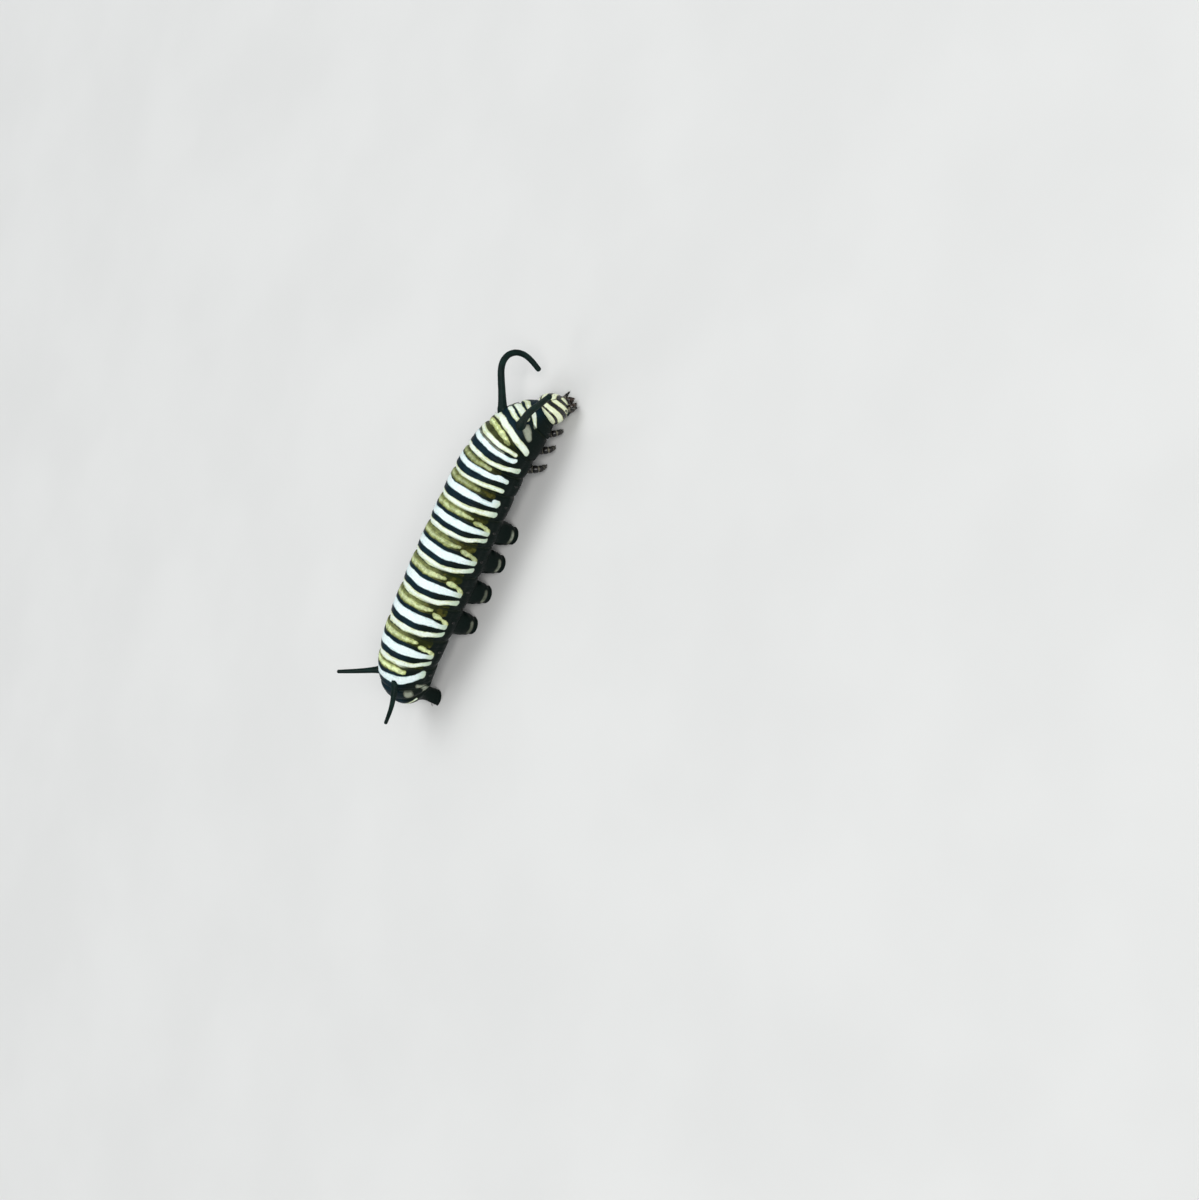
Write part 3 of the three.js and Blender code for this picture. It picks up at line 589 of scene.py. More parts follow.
# skin rows: even steps along the body, the tail's cap by sine and cosine of equal angles, and
# the neck's membrane drawn in towards the head
tailStart = stations[-2]
tailPower = 2/bodyPlan["tailRoundness"]
bodyRows = np.linspace(0, tailStart, skinLook["rows"] - skinLook["tailRows"] - skinLook["neckRows"])
tailTurn = np.linspace(0, np.pi/2*skinLook["tailEnd"], skinLook["tailRows"] + 1)[1:]
neckShare = np.linspace(1, 0, skinLook["neckRows"], endpoint=False)
rowStations = np.concatenate([
    -skinLook["neckLength"]*neckShare, bodyRows,
    tailStart + segmentLengths[-1]*np.sin(tailTurn)**tailPower])
rowScale = np.concatenate([
    1 - skinLook["neckDraw"]*neckShare**skinLook["neckPower"], np.ones(len(bodyRows)),
    np.cos(tailTurn)**tailPower])
angles = roundAngles()
s, around = np.meshgrid(rowStations, angles, indexing="ij")
inside = np.clip(s, 0, bodyLength)
segment = np.clip(np.searchsorted(stations, inside, side="right") - 1, 0, len(stations) - 2)
long = segmentLengths[segment]
share = (inside - stations[segment])/long
degrees = np.abs(np.degrees(around))
half = halfWidthAt(inside)


# waves = sum of height sin(number around + turned segment + phase)
def wavesRound(waves, phase=0):
    return sum(
        height*np.sin(around*number + segment*turned + phase) for height, number, turned in waves)


# relief = swelling of each segment, fold between segments, shallow creases, ridge and groove;
# shade = the painted shade for the folds and creases, weaker on the back
def makeRelief():
    look = skinLook
    shifts = [bandShift.get(name, 0) for name in segmentNames[:-1]]
    folds = stations[1:-1] + shifts*segmentLengths[:-1]
    toFold = np.abs(inside[..., None] - folds).min(-1)
    isTail = segment == len(stations) - 2
    swell = look["swell"]*np.abs(2*np.where(isTail, np.minimum(share, 0.5), share) - 1)**4
    onFlank, onBelly = smoothStep(*look["flankFrom"], degrees), smoothStep(*look["bellyFrom"], degrees)
    depth = bell(toFold + wavesRound(look["foldWaves"]), 0, look["foldWidth"])
    depth = depth*(look["backFold"] + (1 - look["backFold"])*onFlank)
    depth = depth*(1 + (look["bellyFold"] - 1)*onBelly)
    relief = -swell*half - look["foldDepth"]*depth
    # painted shade in the folds, a smaller share of it on the back than on the flanks
    shade = depth*(look["backShadowShare"] + (1 - look["backShadowShare"])*onFlank)
    for number, (place, creaseDepth) in enumerate(look["creases"]):
        sway = wavesRound(look["creaseSway"], number*look["creaseSwayStep"])
        strength = look["creaseStrength"] + wavesRound(look["creaseWaves"], number)
        dent = bell((share - place)*long + sway, 0, look["creaseWidth"])*(segment > 0)*(~isTail)
        relief = relief - creaseDepth*strength*dent
        shade = np.maximum(shade, look["creaseShadowAmount"]*strength*dent)
    angle, spread, height = look["ridge"]
    relief = relief + height*bell(degrees, angle, spread)*np.sin(np.pi*np.clip(share, 0, 1))
    angle, spread, height = look["groove"]
    return relief - height*bell(degrees, angle, spread)*(segment > 1), shade


relief, creaseShadowAmount = makeRelief()
skinGrid = skinAt(s, around, (half + relief)*rowScale[:, None])

# bands, each wavering a little round the body, and each kept to its own part of it
edges = {name: np.full(s.shape, -1.0) for name, depth in skinLayers}
wiggle = wavesRound(skinLook["bandWaves"])
for index, name in enumerate(segmentNames):
    length = segmentLengths[index]
    ownShare = (inside - stations[index])/length + wiggle - bandShift.get(name, 0)
    near = np.abs(ownShare - 0.5) < 0.5 + skinLook["bandOverlap"]
    for colour, reach, bandEdges in bandsOf.get(name, usualBands):
        distance = bandDistance(reach, bandEdges, ownShare, degrees, length, half)
        edges[colour] = np.where(near, np.maximum(edges[colour], distance), edges[colour])

# Prolegs pulled out of the skin. Near each root, rho = distance on the skin over the root's
# radius, and a point goes to the ring of the proleg at height (1 - rho)/wall, or to its sole.
prolegLook = {
    "on": ["abdomen_3", "abdomen_4", "abdomen_5", "abdomen_6"], "at": 0.52, "side": 1.92,
    "rootHeight": 2.3, "rootAlong": 1.5, "rootRound": 1.65, "wall": 0.62, "stretch": 1.12,
    "heights": [0, 0.25, 0.5, 0.72, 0.86, 0.95, 1],
    "radii": [1.42, 1.3, 1.14, 0.98, 0.83, 0.92, 0.84], "topSide": 1.75, "leanBack": 0,
    "wrinkle": 0.035, "wrinklePace": 22, "smoothFrom": 0.85, "blend": 0.34,
    "spot": {"size": 0.15, "down": 0.62, "out": 0.62, "flatness": 2.2},
}
analLook = {
    **prolegLook, "on": ["abdomen_10"], "at": 0.4, "side": 1.45, "topSide": 1.25, "rootHeight": 1.5,
    "rootAlong": 1.3, "rootRound": 1.45, "stretch": 1.3, "leanBack": 0.2, "spot": None,
    "heights": [0, 0.3, 0.6, 0.8, 0.92, 1], "radii": [1.0, 0.95, 0.86, 0.79, 0.84, 0.74],
}


# middle of a proleg's sole, on the ground beside its place on the axis
def soleOf(look, name, side):
    middle = axisAt(stationOf(segmentNames.index(name), look["at"]))
    return np.array([middle[0] - side*look["side"], middle[1] + look["leanBack"], 0])


# point = middle of the proleg at its height + radius at that height, outwards from the root's
# middle, blended into the skin near the root's rim
def pullProleg(look, name, side):
    sole = soleOf(look, name, side)
    root = np.array([sole[0] + side*(look["side"] - look["topSide"]), sole[1], look["rootHeight"]])
    row, col = np.unravel_index(np.argmin(np.linalg.norm(skinGrid - root, axis=-1)), s.shape)
    along = (s - s[row, col])/look["rootAlong"]
    inwards = (np.abs(around) - abs(around[row, col]))*half/look["rootRound"]
    rho = np.where(np.sign(around) == side, np.hypot(along, inwards), np.inf)
    drop = np.clip((1 - rho)/look["wall"], 0, 1)
    wrinkles = look["wrinkle"]*np.sin(drop*look["wrinklePace"])*(drop < look["smoothFrom"])
    radius = np.interp(drop, look["heights"], look["radii"]) + wrinkles
    radius = radius*np.where(rho < 1 - look["wall"], rho/(1 - look["wall"]), 1)
    radius = radius/np.maximum(rho, 1e-6)
    x = root[0] + (sole[0] - root[0])*drop + side*inwards*radius
    y = sole[1] + along*radius*look["stretch"]
    z = look["rootHeight"]*(1 - drop)
    weight = smoothStep(0, look["blend"], 1 - rho)[..., None]
    return weight*np.stack([x, y, z], -1) + (1 - weight)*skinGrid, weight[..., 0], rho, inwards


pulled = np.zeros(s.shape)
for look in (prolegLook, analLook):
    for name in look["on"]:
        for side in sides.values():
            skinGrid, weight, rho, inwards = pullProleg(look, name, side)
            pulled = np.maximum(pulled, weight)
            spot = look["spot"]
            if spot:
                away = np.hypot(spot["flatness"]*(rho - spot["down"]), inwards + spot["out"])
                edges["grey"] = np.maximum(edges["grey"], spot["size"] - away)

middles = (stations[1:] + stations[:-1])/2
# the crease mark carries the painted shade of the folds and creases, taken off the pulled-out prolegs
skinMarks = {
    **edges, "creaseShadow": creaseShadowAmount*(1 - pulled), "around": degrees/180,
    **{name: smoothThrough(middles, skinLook[name])(inside) for name in ("vivid", "oliveLight")}}
skinNodes = [*segmentNames, *[
    f"proleg_{part}_{label}" for part in ("a3", "a4", "a5", "a6", "a10") for label in sides]]
addGrids("skin", [skinGrid], skinMaterial, skinNodes, skinMarks)
print("skin made")

# Head: its own forward axis lifts evenly from the neck to the face, as the solid's does.
# Stripes, seam and lobes: places on the face map, in degrees. Lobes: height, then the middle
# and spread of each across and up.
headLook = {
    "halfWidth": 1.75, "halfHeight": 1.72, "depth": 2.3, "lift": 36, "drop": 0.08, "gap": 0.3,
    "widest": 0.33, "behind": 0.62, "ahead": 0.67, "cheek": 0.06, "notch": 0.09, "notchWidth": 14,
    "rows": 150, "cols": 300, "crowding": 0.4, "frontEdge": 1.2, "backEdge": 122,
    "archHeight": -20, "archStretch": 0.78, "archPower": 1.35, "mmPerDegree": 0.03,
    "paleRings": [(-1, 17), (33, 51), (70, 95), (108, 140)],
    "seamDepth": 0.045, "seamWidth": 2.1, "seamTop": 30, "seamFoot": -36, "seamSpread": 23,
    "lipDrop": 9, "lipWidth": 1.2, "lipDepth": 0.7, "lobes": (0.03, (44, 22), (30, 34)),
    "rimShare": 0.6, "rimForward": 0.25,
}
neckMiddle = axisAt(np.array(0.0))
neckTailwards, neckRight, neckBack = axesAt(np.array(0.0))


# head point = neck + right side + up turned by the lift + forward turned by half the lift
def headPoint(side, up, forward):
    lift = np.radians(headLook["lift"])*forward/headLook["depth"]
    upwards = np.cos(lift)[..., None]*neckBack + np.sin(lift)[..., None]*neckTailwards
    forwards = np.sin(lift/2)[..., None]*neckBack - np.cos(lift/2)[..., None]*neckTailwards
    origin = neckMiddle - headLook["gap"]*neckTailwards
    return origin + side[..., None]*neckRight + up[..., None]*upwards + forward[..., None]*forwards


# head surface: reach = sqrt(1 - ((share - widest)/slope)^2), half ellipses before and behind the
# widest ring, less a bell at the crown; side = half width reach sin turn, up = half height reach
# cos turn
def headSurface(share, turn, extra=0.0):
    look = headLook
    slope = np.where(share < look["widest"], look["behind"], look["ahead"])
    bulge = np.sqrt(np.maximum(0, 1 - ((share - look["widest"])/slope)**2))
    fromTop = np.degrees(np.arctan2(np.sin(turn), np.cos(turn)))
    reach = bulge*(1 - look["notch"]*bell(fromTop, 0, look["notchWidth"]))
    reach = reach*(1 + look["cheek"]*np.sin(turn)**2*np.cos(turn))
    side = np.sin(turn)*(look["halfWidth"]*reach + extra)
    up = np.cos(turn)*(look["halfHeight"]*reach + extra) - look["drop"]*share
    return headPoint(side, up, share*(look["depth"] + extra))


# place on the head, and the direction out of it: towards a head 1 mm larger
def headPlace(share, turn):
    share, turn = np.array(share), np.array(np.radians(turn))
    place = headSurface(share, turn)
    return place, unit(headSurface(share, turn, 1.0) - place)


# seam of the face: a line down the crown that parts into the two sides of a triangle, with the
# triangle's foot and the lip's edge below it; u across and v up on the face map
def faceSeam(u, v):
    look = headLook
    top, foot, spread, width = (look[key] for key in ("seamTop", "seamFoot", "seamSpread", "seamWidth"))
    crown = bell(u, 0, width)*smoothStep(top - 2, top + 2, v)
    flare = (top - v)/(top - foot)*spread
    slopes = bell(u, flare, width)*smoothStep(foot - 3, foot, v)*(v < top + 2)
    base = bell(v, foot, width)*(u < spread + 1)
    lip = look["lipDepth"]*bell(v, foot - look["lipDrop"], look["lipWidth"])*(u < spread - 2)
    return np.clip(crown + slopes + base + lip, 0, 1)


# Face map: polar = degrees from the face's pole to the widest ring at 90 and on to the neck,
# u and v = polar times sine and cosine of the angle from the crown. The pale rings follow
# arches: (u^p + (stretch (v - height))^p)^(1/p), straight down below the arch's height.
def makeHead():
    look = headLook
    polar = np.linspace(look["frontEdge"], look["backEdge"], look["rows"])
    turn = equalTurns(look["cols"])
    polar, turn = np.meshgrid(polar, turn - look["crowding"]*np.sin(turn), indexing="ij")
    slope = np.where(polar > 90, look["behind"], look["ahead"])
    share = look["widest"] + slope*np.cos(np.radians(polar))
    u, v = polar*np.abs(np.sin(turn)), polar*np.cos(turn)
    arch = np.maximum(v - look["archHeight"], 0)*look["archStretch"]
    power = look["archPower"]
    reach = (u**power + arch**power)**(1/power)
    pale = np.full(u.shape, -1.0)
    for inner, outer in look["paleRings"]:
        pale = np.maximum(pale, np.minimum(reach - inner, outer - reach)*look["mmPerDegree"])
    seam = faceSeam(u, v)
    height, lobesAcross, lobesUp = look["lobes"]
    lobes = height*bell(u, *lobesAcross)*bell(v, *lobesUp)
    grid = headSurface(share, turn, lobes - look["seamDepth"]*seam)
    rim = headPoint(
        np.sin(turn[-1])*look["halfWidth"]*look["rimShare"],
        np.cos(turn[-1])*look["halfHeight"]*look["rimShare"],
        np.full(look["cols"], look["rimForward"]))
    grid = np.concatenate([grid, rim[None]])
    marks = {
        "paleEdge": np.concatenate([pale, np.full((1, look["cols"]), -1.0)]),
        # the groove mark carries the painted shade of the seam's grooves
        "groove": np.concatenate([seam, seam[-1:]])}
    addGrids("head_capsule", [grid], headMaterial, ["head"], marks)
    return grid


headGrid = makeHead()
print("head made")

# Mouthparts: rounded blocks in the head's own directions: side, up, forward. Along and steps
# of the palps: distance from the root, and radius, as shares.
mouthLook = {
    "rows": 40, "cols": 64, "poleGap": 0.03, "stubCols": 20,
    "labrum": {"middle": (0, -1.14, 1.99), "half": (0.52, 0.30, 0.24), "notch": 0.15,
               "notchWidth": 0.11, "lowFrom": (0.1, -0.7), "widen": 0.22, "shorten": 0.06, "thin": 0.35},
    "mandible": {"middle": (0.50, -1.58, 1.86), "half": (0.37, 0.50, 0.40), "cut": (-0.55, -0.835),
                 "teeth": 0.20, "count": 4, "edgeFrom": (0.1, 0.95), "teethFrom": (0.55, 0.9),
                 "widen": 0.7, "lengthen": 0.10, "thin": 0.72},
    "labium": {"middle": (0, -1.72, 1.16), "half": (0.34, 0.40, 0.40)},
    "maxilla": {"middle": (0.47, -1.60, 1.22), "half": (0.22, 0.36, 0.30)},
    "along": (0, 0.36, 0.40, 0.68, 0.72, 0.96, 1.0),
    "palp": {"root": (0.46, -1.86, 1.42), "to": (0.05, -0.30, 0.22), "radius": 0.10, "length": 0.36,
             "steps": (1.0, 0.98, 0.78, 0.76, 0.5, 0.46, 0.1)},
    "spinneret": {"root": (0, -1.98, 1.42), "to": (0, -0.30, 0.26), "radius": 0.085, "length": 0.27,
                  "steps": (1, 0.9, 0.8, 0.62, 0.5, 0.38, 0.2)},
}


# block = middle + half sizes times a unit ball, shaped by a function of its own
def blockGrid(name, side=1, shape=None):
    look, block = mouthLook, mouthLook[name]
    polar, turn = np.meshgrid(
        np.linspace(look["poleGap"], np.pi - look["poleGap"], look["rows"]),
        equalTurns(look["cols"]), indexing="ij")
    ball = np.stack([np.sin(polar)*np.sin(turn), np.cos(polar), np.sin(polar)*np.cos(turn)])
    if shape is not None:
        ball = shape(block, *ball)
    across, up, forward = (block["middle"][k] + ball[k]*block["half"][k] for k in range(3))
    return headPoint(side*across, up, forward)


# labrum: a ball widened and thinned below, with notch bell(across) cut in its lower edge
def labrumShape(block, across, up, forward):
    lowered = smoothStep(*block["lowFrom"], up)
    notch = block["notch"]/block["half"][1]*bell(across*block["half"][0], 0, block["notchWidth"])
    up = up*(1 - block["shorten"]*lowered) + notch*lowered
    return np.stack([across*(1 + block["widen"]*lowered), up, forward*(1 - block["thin"]*lowered)])


# mandible: a ball drawn out to a thin edge in the cutting direction, inwards and down, with the
# edge widened forwards and back and lowered by teeth (1 - cos(pi count (forward + 1)))/2
def mandibleShape(block, across, up, forward):
    inwards, down = block["cut"]
    reach = across*inwards + up*down
    thick = across*down - up*inwards
    edge = smoothStep(*block["edgeFrom"], reach)
    forward = forward*(1 + block["widen"]*edge)
    notch = block["teeth"]*(0.5 - 0.5*np.cos(np.pi*block["count"]*(forward + 1)))
    reach = reach*(1 + block["lengthen"]*edge) - notch*smoothStep(*block["teethFrom"], reach)
    thick = thick*(1 - block["thin"]*edge)
    return np.stack([reach*inwards + thick*down, reach*down - thick*inwards, forward])


# stub: line = root + distance along times its direction, in three parts, each one narrower
def stubGrid(name, side=1):
    stub = mouthLook[name]
    along = np.array(mouthLook["along"])*stub["length"]
    across, up, forward = (stub["root"] + along[:, None]*unit(stub["to"])).T
    line = headPoint(side*across, up, forward)
    return tubeGrid(line, stub["radius"]*np.array(stub["steps"]), mouthLook["stubCols"], neckRight)


blackHorn, brownHorn = plainMaterials["black_horn"], plainMaterials["brown_horn"]
addGrids("labrum", [blockGrid("labrum", 1, labrumShape)], blackHorn)
addGrids(
    "labium", [blockGrid("labium"), *[blockGrid("maxilla", side) for side in sides.values()]],
    plainMaterials["black_flesh"], ["labium"])
addGrids(
    "palps", [stubGrid("spinneret"), *[stubGrid("palp", side) for side in sides.values()]],
    brownHorn)
for label, side in sides.items():
    addGrids(
        f"jaw_{label}", [blockGrid("mandible", side, mandibleShape)], brownHorn,
        [f"mandible_{label}"])

# Antennae: three parts, the first a pale membrane ring, with a bristle at the tip.
antennaLook = {
    "turn": 142, "share": 0.78, "cols": 28,
    "along": [-0.4, 0.0, 0.22, 0.27, 0.30, 0.66, 0.71, 0.74, 0.98, 1.03, 1.06, 1.22],
    "radii": [0.25, 0.26, 0.25, 0.19, 0.20, 0.18, 0.13, 0.12, 0.105, 0.05, 0.02, 0.008],
    "membrane": [1, 1, 1, 1, 0, 0, 1, 0, 0, 0, 0, 0],
}


# line = root + distance along times the direction out of the head
def makeAntenna(label, side):
    look = antennaLook
    root, outwards = headPlace(look["share"], side*look["turn"])
    line = root + np.array(look["along"])[:, None]*outwards
    grid = tubeGrid(line, look["radii"], look["cols"], neckRight)
    soft = np.repeat(np.array(look["membrane"], float)[:, None], look["cols"], 1)
    addGrids(
        f"feeler_head_{label}", [grid], plainMaterials["jointed_limb"],
        [f"antenna_{label}"], {"membrane": soft})


for label, side in sides.items():
    makeAntenna(label, side)

# Eyes: six small domes in a curved row on each cheek.
eyeLook = {
    "count": 6, "radius": 0.105, "first": 96, "last": 128, "share": 0.66, "bow": 0.14,
    "rows": 14, "cols": 28, "rise": 0.085, "sink": 0.06, "poleGap": 0.08,
}


# dome = middle + rise cos(polar) outwards + radius sin(polar) ring, and a flatter half sunk in
def eyeGrid(part, side):
    look = eyeLook
    turn = look["first"] + (look["last"] - look["first"])*part
    middle, outwards = headPlace(look["share"] + look["bow"]*np.sin(part*np.pi), side*turn)
    first = unit(np.cross(outwards, neckTailwards))
    polar = np.linspace(look["poleGap"], np.pi - look["poleGap"], look["rows"])[:, None, None]
    height = np.where(np.cos(polar) > 0, look["rise"], look["sink"])*np.cos(polar)
    ring = ringOf(look["cols"], first, np.cross(outwards, first))
    return middle + height*outwards + look["radius"]*np.sin(polar)*ring


addGrids(
    "eyes", [eyeGrid(part, side) for part in np.linspace(0, 1, eyeLook["count"])
             for side in sides.values()], plainMaterials["eye_lens"])
print("mouthparts, antennae and eyes made")

# Jointed legs. The line is a centripetal curve through inner point, root, knee, ankle and claw;
# each joint is narrow, with a ring of membrane, and the last part bends into a claw.
legs = [
    {"name": "t1", "on": 0, "turn": 146, "knee": (0.45, 0.4, -0.45), "claw": (0, 0.75), "radius": 0.48},
    {"name": "t2", "on": 1, "turn": 148, "knee": (0.6, 0.4, -0.55), "claw": (0.1, 0.85), "radius": 0.56},
    {"name": "t3", "on": 2, "turn": 148, "knee": (0.7, 0.45, -0.7), "claw": (0.2, 0.95), "radius": 0.6},
]
legLook = {
    "at": 0.5, "rows": 130, "cols": 40, "rootDepth": 0.8, "clawRadius": 0.15, "ankleRadius": 0.25,
    "joints": [0.36, 0.53, 0.68, 0.81], "jointWidth": 0.016, "jointDepth": 0.17, "clawStart": 0.83,
    "ankle": 0.6, "clawBend": (0.16, -0.05, 0.11), "waist": 0.92, "bulge": 0.10, "bulgePower": 0.6,
    "clawNarrow": 0.55, "clawNarrowBy": 0.18, "clawThin": 0.85, "clawPower": 1.3,
    "softRoot": 0.25, "across": (0, 1.0, 0.3),
}
curvePoints = 60  # points in each piece of a curve


# centripetal curve through the points: cubic pieces whose knots are spaced by the square root
# of the distance, read at even steps of its own length
def curveThrough(points, rows):
    points = np.array(points)
    points = np.concatenate([[2*points[0] - points[1]], points, [2*points[-1] - points[-2]]])
    knots = np.concatenate([[0], np.cumsum(np.linalg.norm(np.diff(points, axis=0), axis=1)**0.5)])
    pieces = []
    for i in range(1, len(points) - 2):
        isLast = i == len(points) - 3
        t = np.linspace(knots[i], knots[i + 1], curvePoints, endpoint=isLast)[:, None]

        def blend(a, b, low, high):
            return (a*(high - t) + b*(t - low))/(high - low)
        k = knots[i - 1:i + 3]
        p = points[i - 1:i + 3]
        first, second, third = (blend(p[j], p[j + 1], k[j], k[j + 1]) for j in range(3))
        left, right = blend(first, second, k[0], k[2]), blend(second, third, k[1], k[3])
        pieces.append(blend(left, right, k[1], k[2]))
    line = np.concatenate(pieces)
    run = np.concatenate([[0], np.cumsum(np.linalg.norm(np.diff(line, axis=0), axis=1))])
    return readLine(np.linspace(0, run[-1], rows), run, line)


# radius = taper from root to ankle, a bulge between joints, less a bell at each joint, down to
# the claw's point; soft = those bells and the root
def legProfile(leg, share, toClaw):
    look = legLook
    radius = leg["radius"] + (look["ankleRadius"] - leg["radius"])*np.minimum(1, share/look["clawStart"])
    ends = np.array([0, *look["joints"], 1])
    part = np.clip(np.searchsorted(ends, share, side="right") - 1, 0, len(look["joints"]))
    within = np.clip((share - ends[part])/(ends[part + 1] - ends[part]), 0, 1)
    radius = radius*(look["waist"] + look["bulge"]*np.sin(np.pi*within)**look["bulgePower"])
    soft = (share < look["softRoot"]).astype(float)
    for joint in look["joints"]:
        ring = bell(share, joint, look["jointWidth"])
        radius = radius*(1 - look["jointDepth"]*ring)
        soft = np.maximum(soft, ring)
    radius = radius*(1 - look["clawNarrow"]*smoothStep(0, look["clawNarrowBy"], toClaw))
    return radius*(1 - look["clawThin"]*toClaw**look["clawPower"]), soft


# leg: the curve through its points, bent up and out at the claw, with the profile as radius
def makeLeg(leg, label, side):
    look = legLook
    station = stationOf(leg["on"], look["at"])
    root = skinAt(station, np.array(side*np.radians(leg["turn"])), halfWidthAt(station))
    inner = root + unit(axisAt(station) - root)*look["rootDepth"]
    out, ahead, up = leg["knee"]
    knee = root + np.array([-side*out, -ahead, up])
    claw = root + np.array([-side*leg["claw"][0], -leg["claw"][1], 0])
    claw[2] = -look["clawRadius"]/2
    ankle = knee*(1 - look["ankle"]) + claw*look["ankle"]
    line = curveThrough([inner, root, knee, ankle, claw], look["rows"])
    share = np.linspace(0, 1, look["rows"])
    toClaw = np.clip((share - look["clawStart"])/(1 - look["clawStart"]), 0, 1)
    out, back, up = look["clawBend"]
    line = line + np.stack([side*out*toClaw**2, back*toClaw, up*toClaw], -1)
    radius, soft = legProfile(leg, share, toClaw)
    grid = tubeGrid(line, radius, look["cols"], look["across"])
    grid[..., 2] = np.maximum(grid[..., 2], 0.0)
    addGrids(
        f"walking_leg_{leg['name']}_{label}", [grid], plainMaterials["jointed_limb"],
        [f"leg_{leg['name']}_{label}"], {"membrane": np.repeat(soft[:, None], look["cols"], 1)})


for leg in legs:
    for label, side in sides.items():
        makeLeg(leg, label, side)
print("legs made")

# Hooks round the inner half of each sole, lying out flat just above the ground. Steps, heights
# and radii, from root to tip, are shares of the length, height and radius.
hookLook = {
    "count": 20, "ring": 0.80, "ofSole": 0.84, "length": 0.13, "height": 0.10, "radius": 0.020,
    "spread": 80, "cols": 5, "steps": (-0.35, 0.25, 0.7, 1.0, 0.92),
    "heights": (1.0, 1.0, 0.75, 0.4, 0.22), "radii": (1, 1, 0.9, 0.6, 0.15),
}


# hook = sole + (ring + length step) outwards, at height (height share)
def hookGrids(look, name, side):
    hooks = hookLook
    sole = soleOf(look, name, side)
    ring = hooks["ring"]*look["radii"][-1]/hooks["ofSole"]
    radius = hooks["radius"]*np.array(hooks["radii"])
    grids = []
    for angle in np.radians(np.linspace(-hooks["spread"], hooks["spread"], hooks["count"])):
        outwards = np.array([side*np.cos(angle), look["stretch"]*np.sin(angle), 0])
        line = sole + (ring + hooks["length"]*np.array(hooks["steps"]))[:, None]*outwards
        line[:, 2] = np.array(hooks["heights"])*hooks["height"]
        grids.append(tubeGrid(line, radius, hooks["cols"], np.cross(outwards, [0, 0, 1.0])))
    return grids


addGrids(
    "sole_hooks", [
        grid for look in (prolegLook, analLook) for name in look["on"] for side in sides.values()
        for grid in hookGrids(look, name, side)], brownHorn)
print("sole hooks made")

# Breathing holes: an oval rim round a sunk slit, one a side on the first segment and the
# first eight of the abdomen. Profile: share of the radius, then height, from middle to foot.
spiracleLook = {
    "on": [0, *range(3, 11)], "at": 0.40, "turn": 110, "alongBody": 0.13, "roundBody": 0.22,
    "cols": 32, "lift": 0.01, "profile": [
        (0.03, -0.05), (0.3, -0.045), (0.5, 0.0), (0.66, 0.035), (0.84, 0.03), (1.0, -0.01),
        (1.0, -0.09), (0.5, -0.10), (0.03, -0.10)],
}


# frame on the skin at a point of the grid: point, direction tailwards, round and out
def skinFrame(row, col):
    point = skinGrid[row, col]
    tailwards = unit(skinGrid[min(row + 2, len(skinGrid) - 1), col] - skinGrid[max(row - 2, 0), col])
    roundwards = skinGrid[row, (col + 2) % len(angles)] - skinGrid[row, col - 2]
    out = unit(np.cross(tailwards, roundwards))
    out = out*np.sign(out @ (point - axisAt(np.array(rowStations[row]))))
    return point, tailwards, np.cross(out, tailwards), out


# rim = point + reach (alongBody cos turn tailwards + roundBody sin turn roundwards) + height out
def spiracleGrid(index, side):
    look = spiracleLook
    row = np.argmin(np.abs(rowStations - stationOf(index, look["at"])))
    col = np.argmin(np.abs(angles - side*np.radians(look["turn"])))
    point, tailwards, roundwards, out = skinFrame(row, col)
    reach, height = np.array(look["profile"]).T[..., None, None]
    ring = ringOf(look["cols"], tailwards*look["alongBody"], roundwards*look["roundBody"])
    return point + reach*ring + (height + look["lift"])*out


addGrids(
    "breathing_holes", [
        spiracleGrid(index, side) for index in spiracleLook["on"] for side in sides.values()],
    blackHorn)
print("breathing holes made")

# Sparse fine hairs: a bent cone of few faces on each chosen point of a grid. Margins: rows left
# bare at a grid's two ends, besides the neck's. Steps and radii, from root to tip, are shares of
# the length and the radius.
hairLook = {
    "seed": 7, "body": 900, "head": 110, "length": (0.09, 0.22), "headLength": (0.10, 0.28),
    "radius": 0.009, "lean": 0.55, "cols": 3, "steps": (-0.12, 0.45, 1.0), "radii": (1, 0.7, 0.12),
    "lowest": 0.02, "lowestRoot": 0.25, "creaseLimit": 0.5, "margins": (3, 6),
    "headMargins": (12, 10), "patch": 0.0015, "patchEdge": 0.004, "headShare": 0.08,
    "headFill": 0.9,
}


# normals and downward directions of a closed grid: normal = cross product of its two
# differences, turned away from its middle
def gridNormals(grid):
    down = np.gradient(grid, axis=0)
    roundwards = np.roll(grid, -1, 1) - np.roll(grid, 1, 1)
    normal = unit(np.cross(down, roundwards))
    return normal*np.sign((normal*(grid - grid.mean(1, keepdims=True))).sum()), unit(down)


# hair = root + step length out + lean step^2 length down the body
def hairGrids(grid, rows, cols, lengths, random):
    look = hairLook
    normal, down = gridNormals(grid)
    share = np.array(look["steps"])[:, None]
    radius = look["radius"]*np.array(look["radii"])
    grids = []
    for row, col in zip(rows, cols):
        root, out, back = grid[row, col], normal[row, col], down[row, col]
        length = random.uniform(*lengths)
        line = root + share*length*out + look["lean"]*np.maximum(share, 0)**2*length*back
        line[:, 2] = np.maximum(line[:, 2], look["lowest"])
        grids.append(tubeGrid(line, radius, look["cols"], np.cross(out, back)))
    return grids


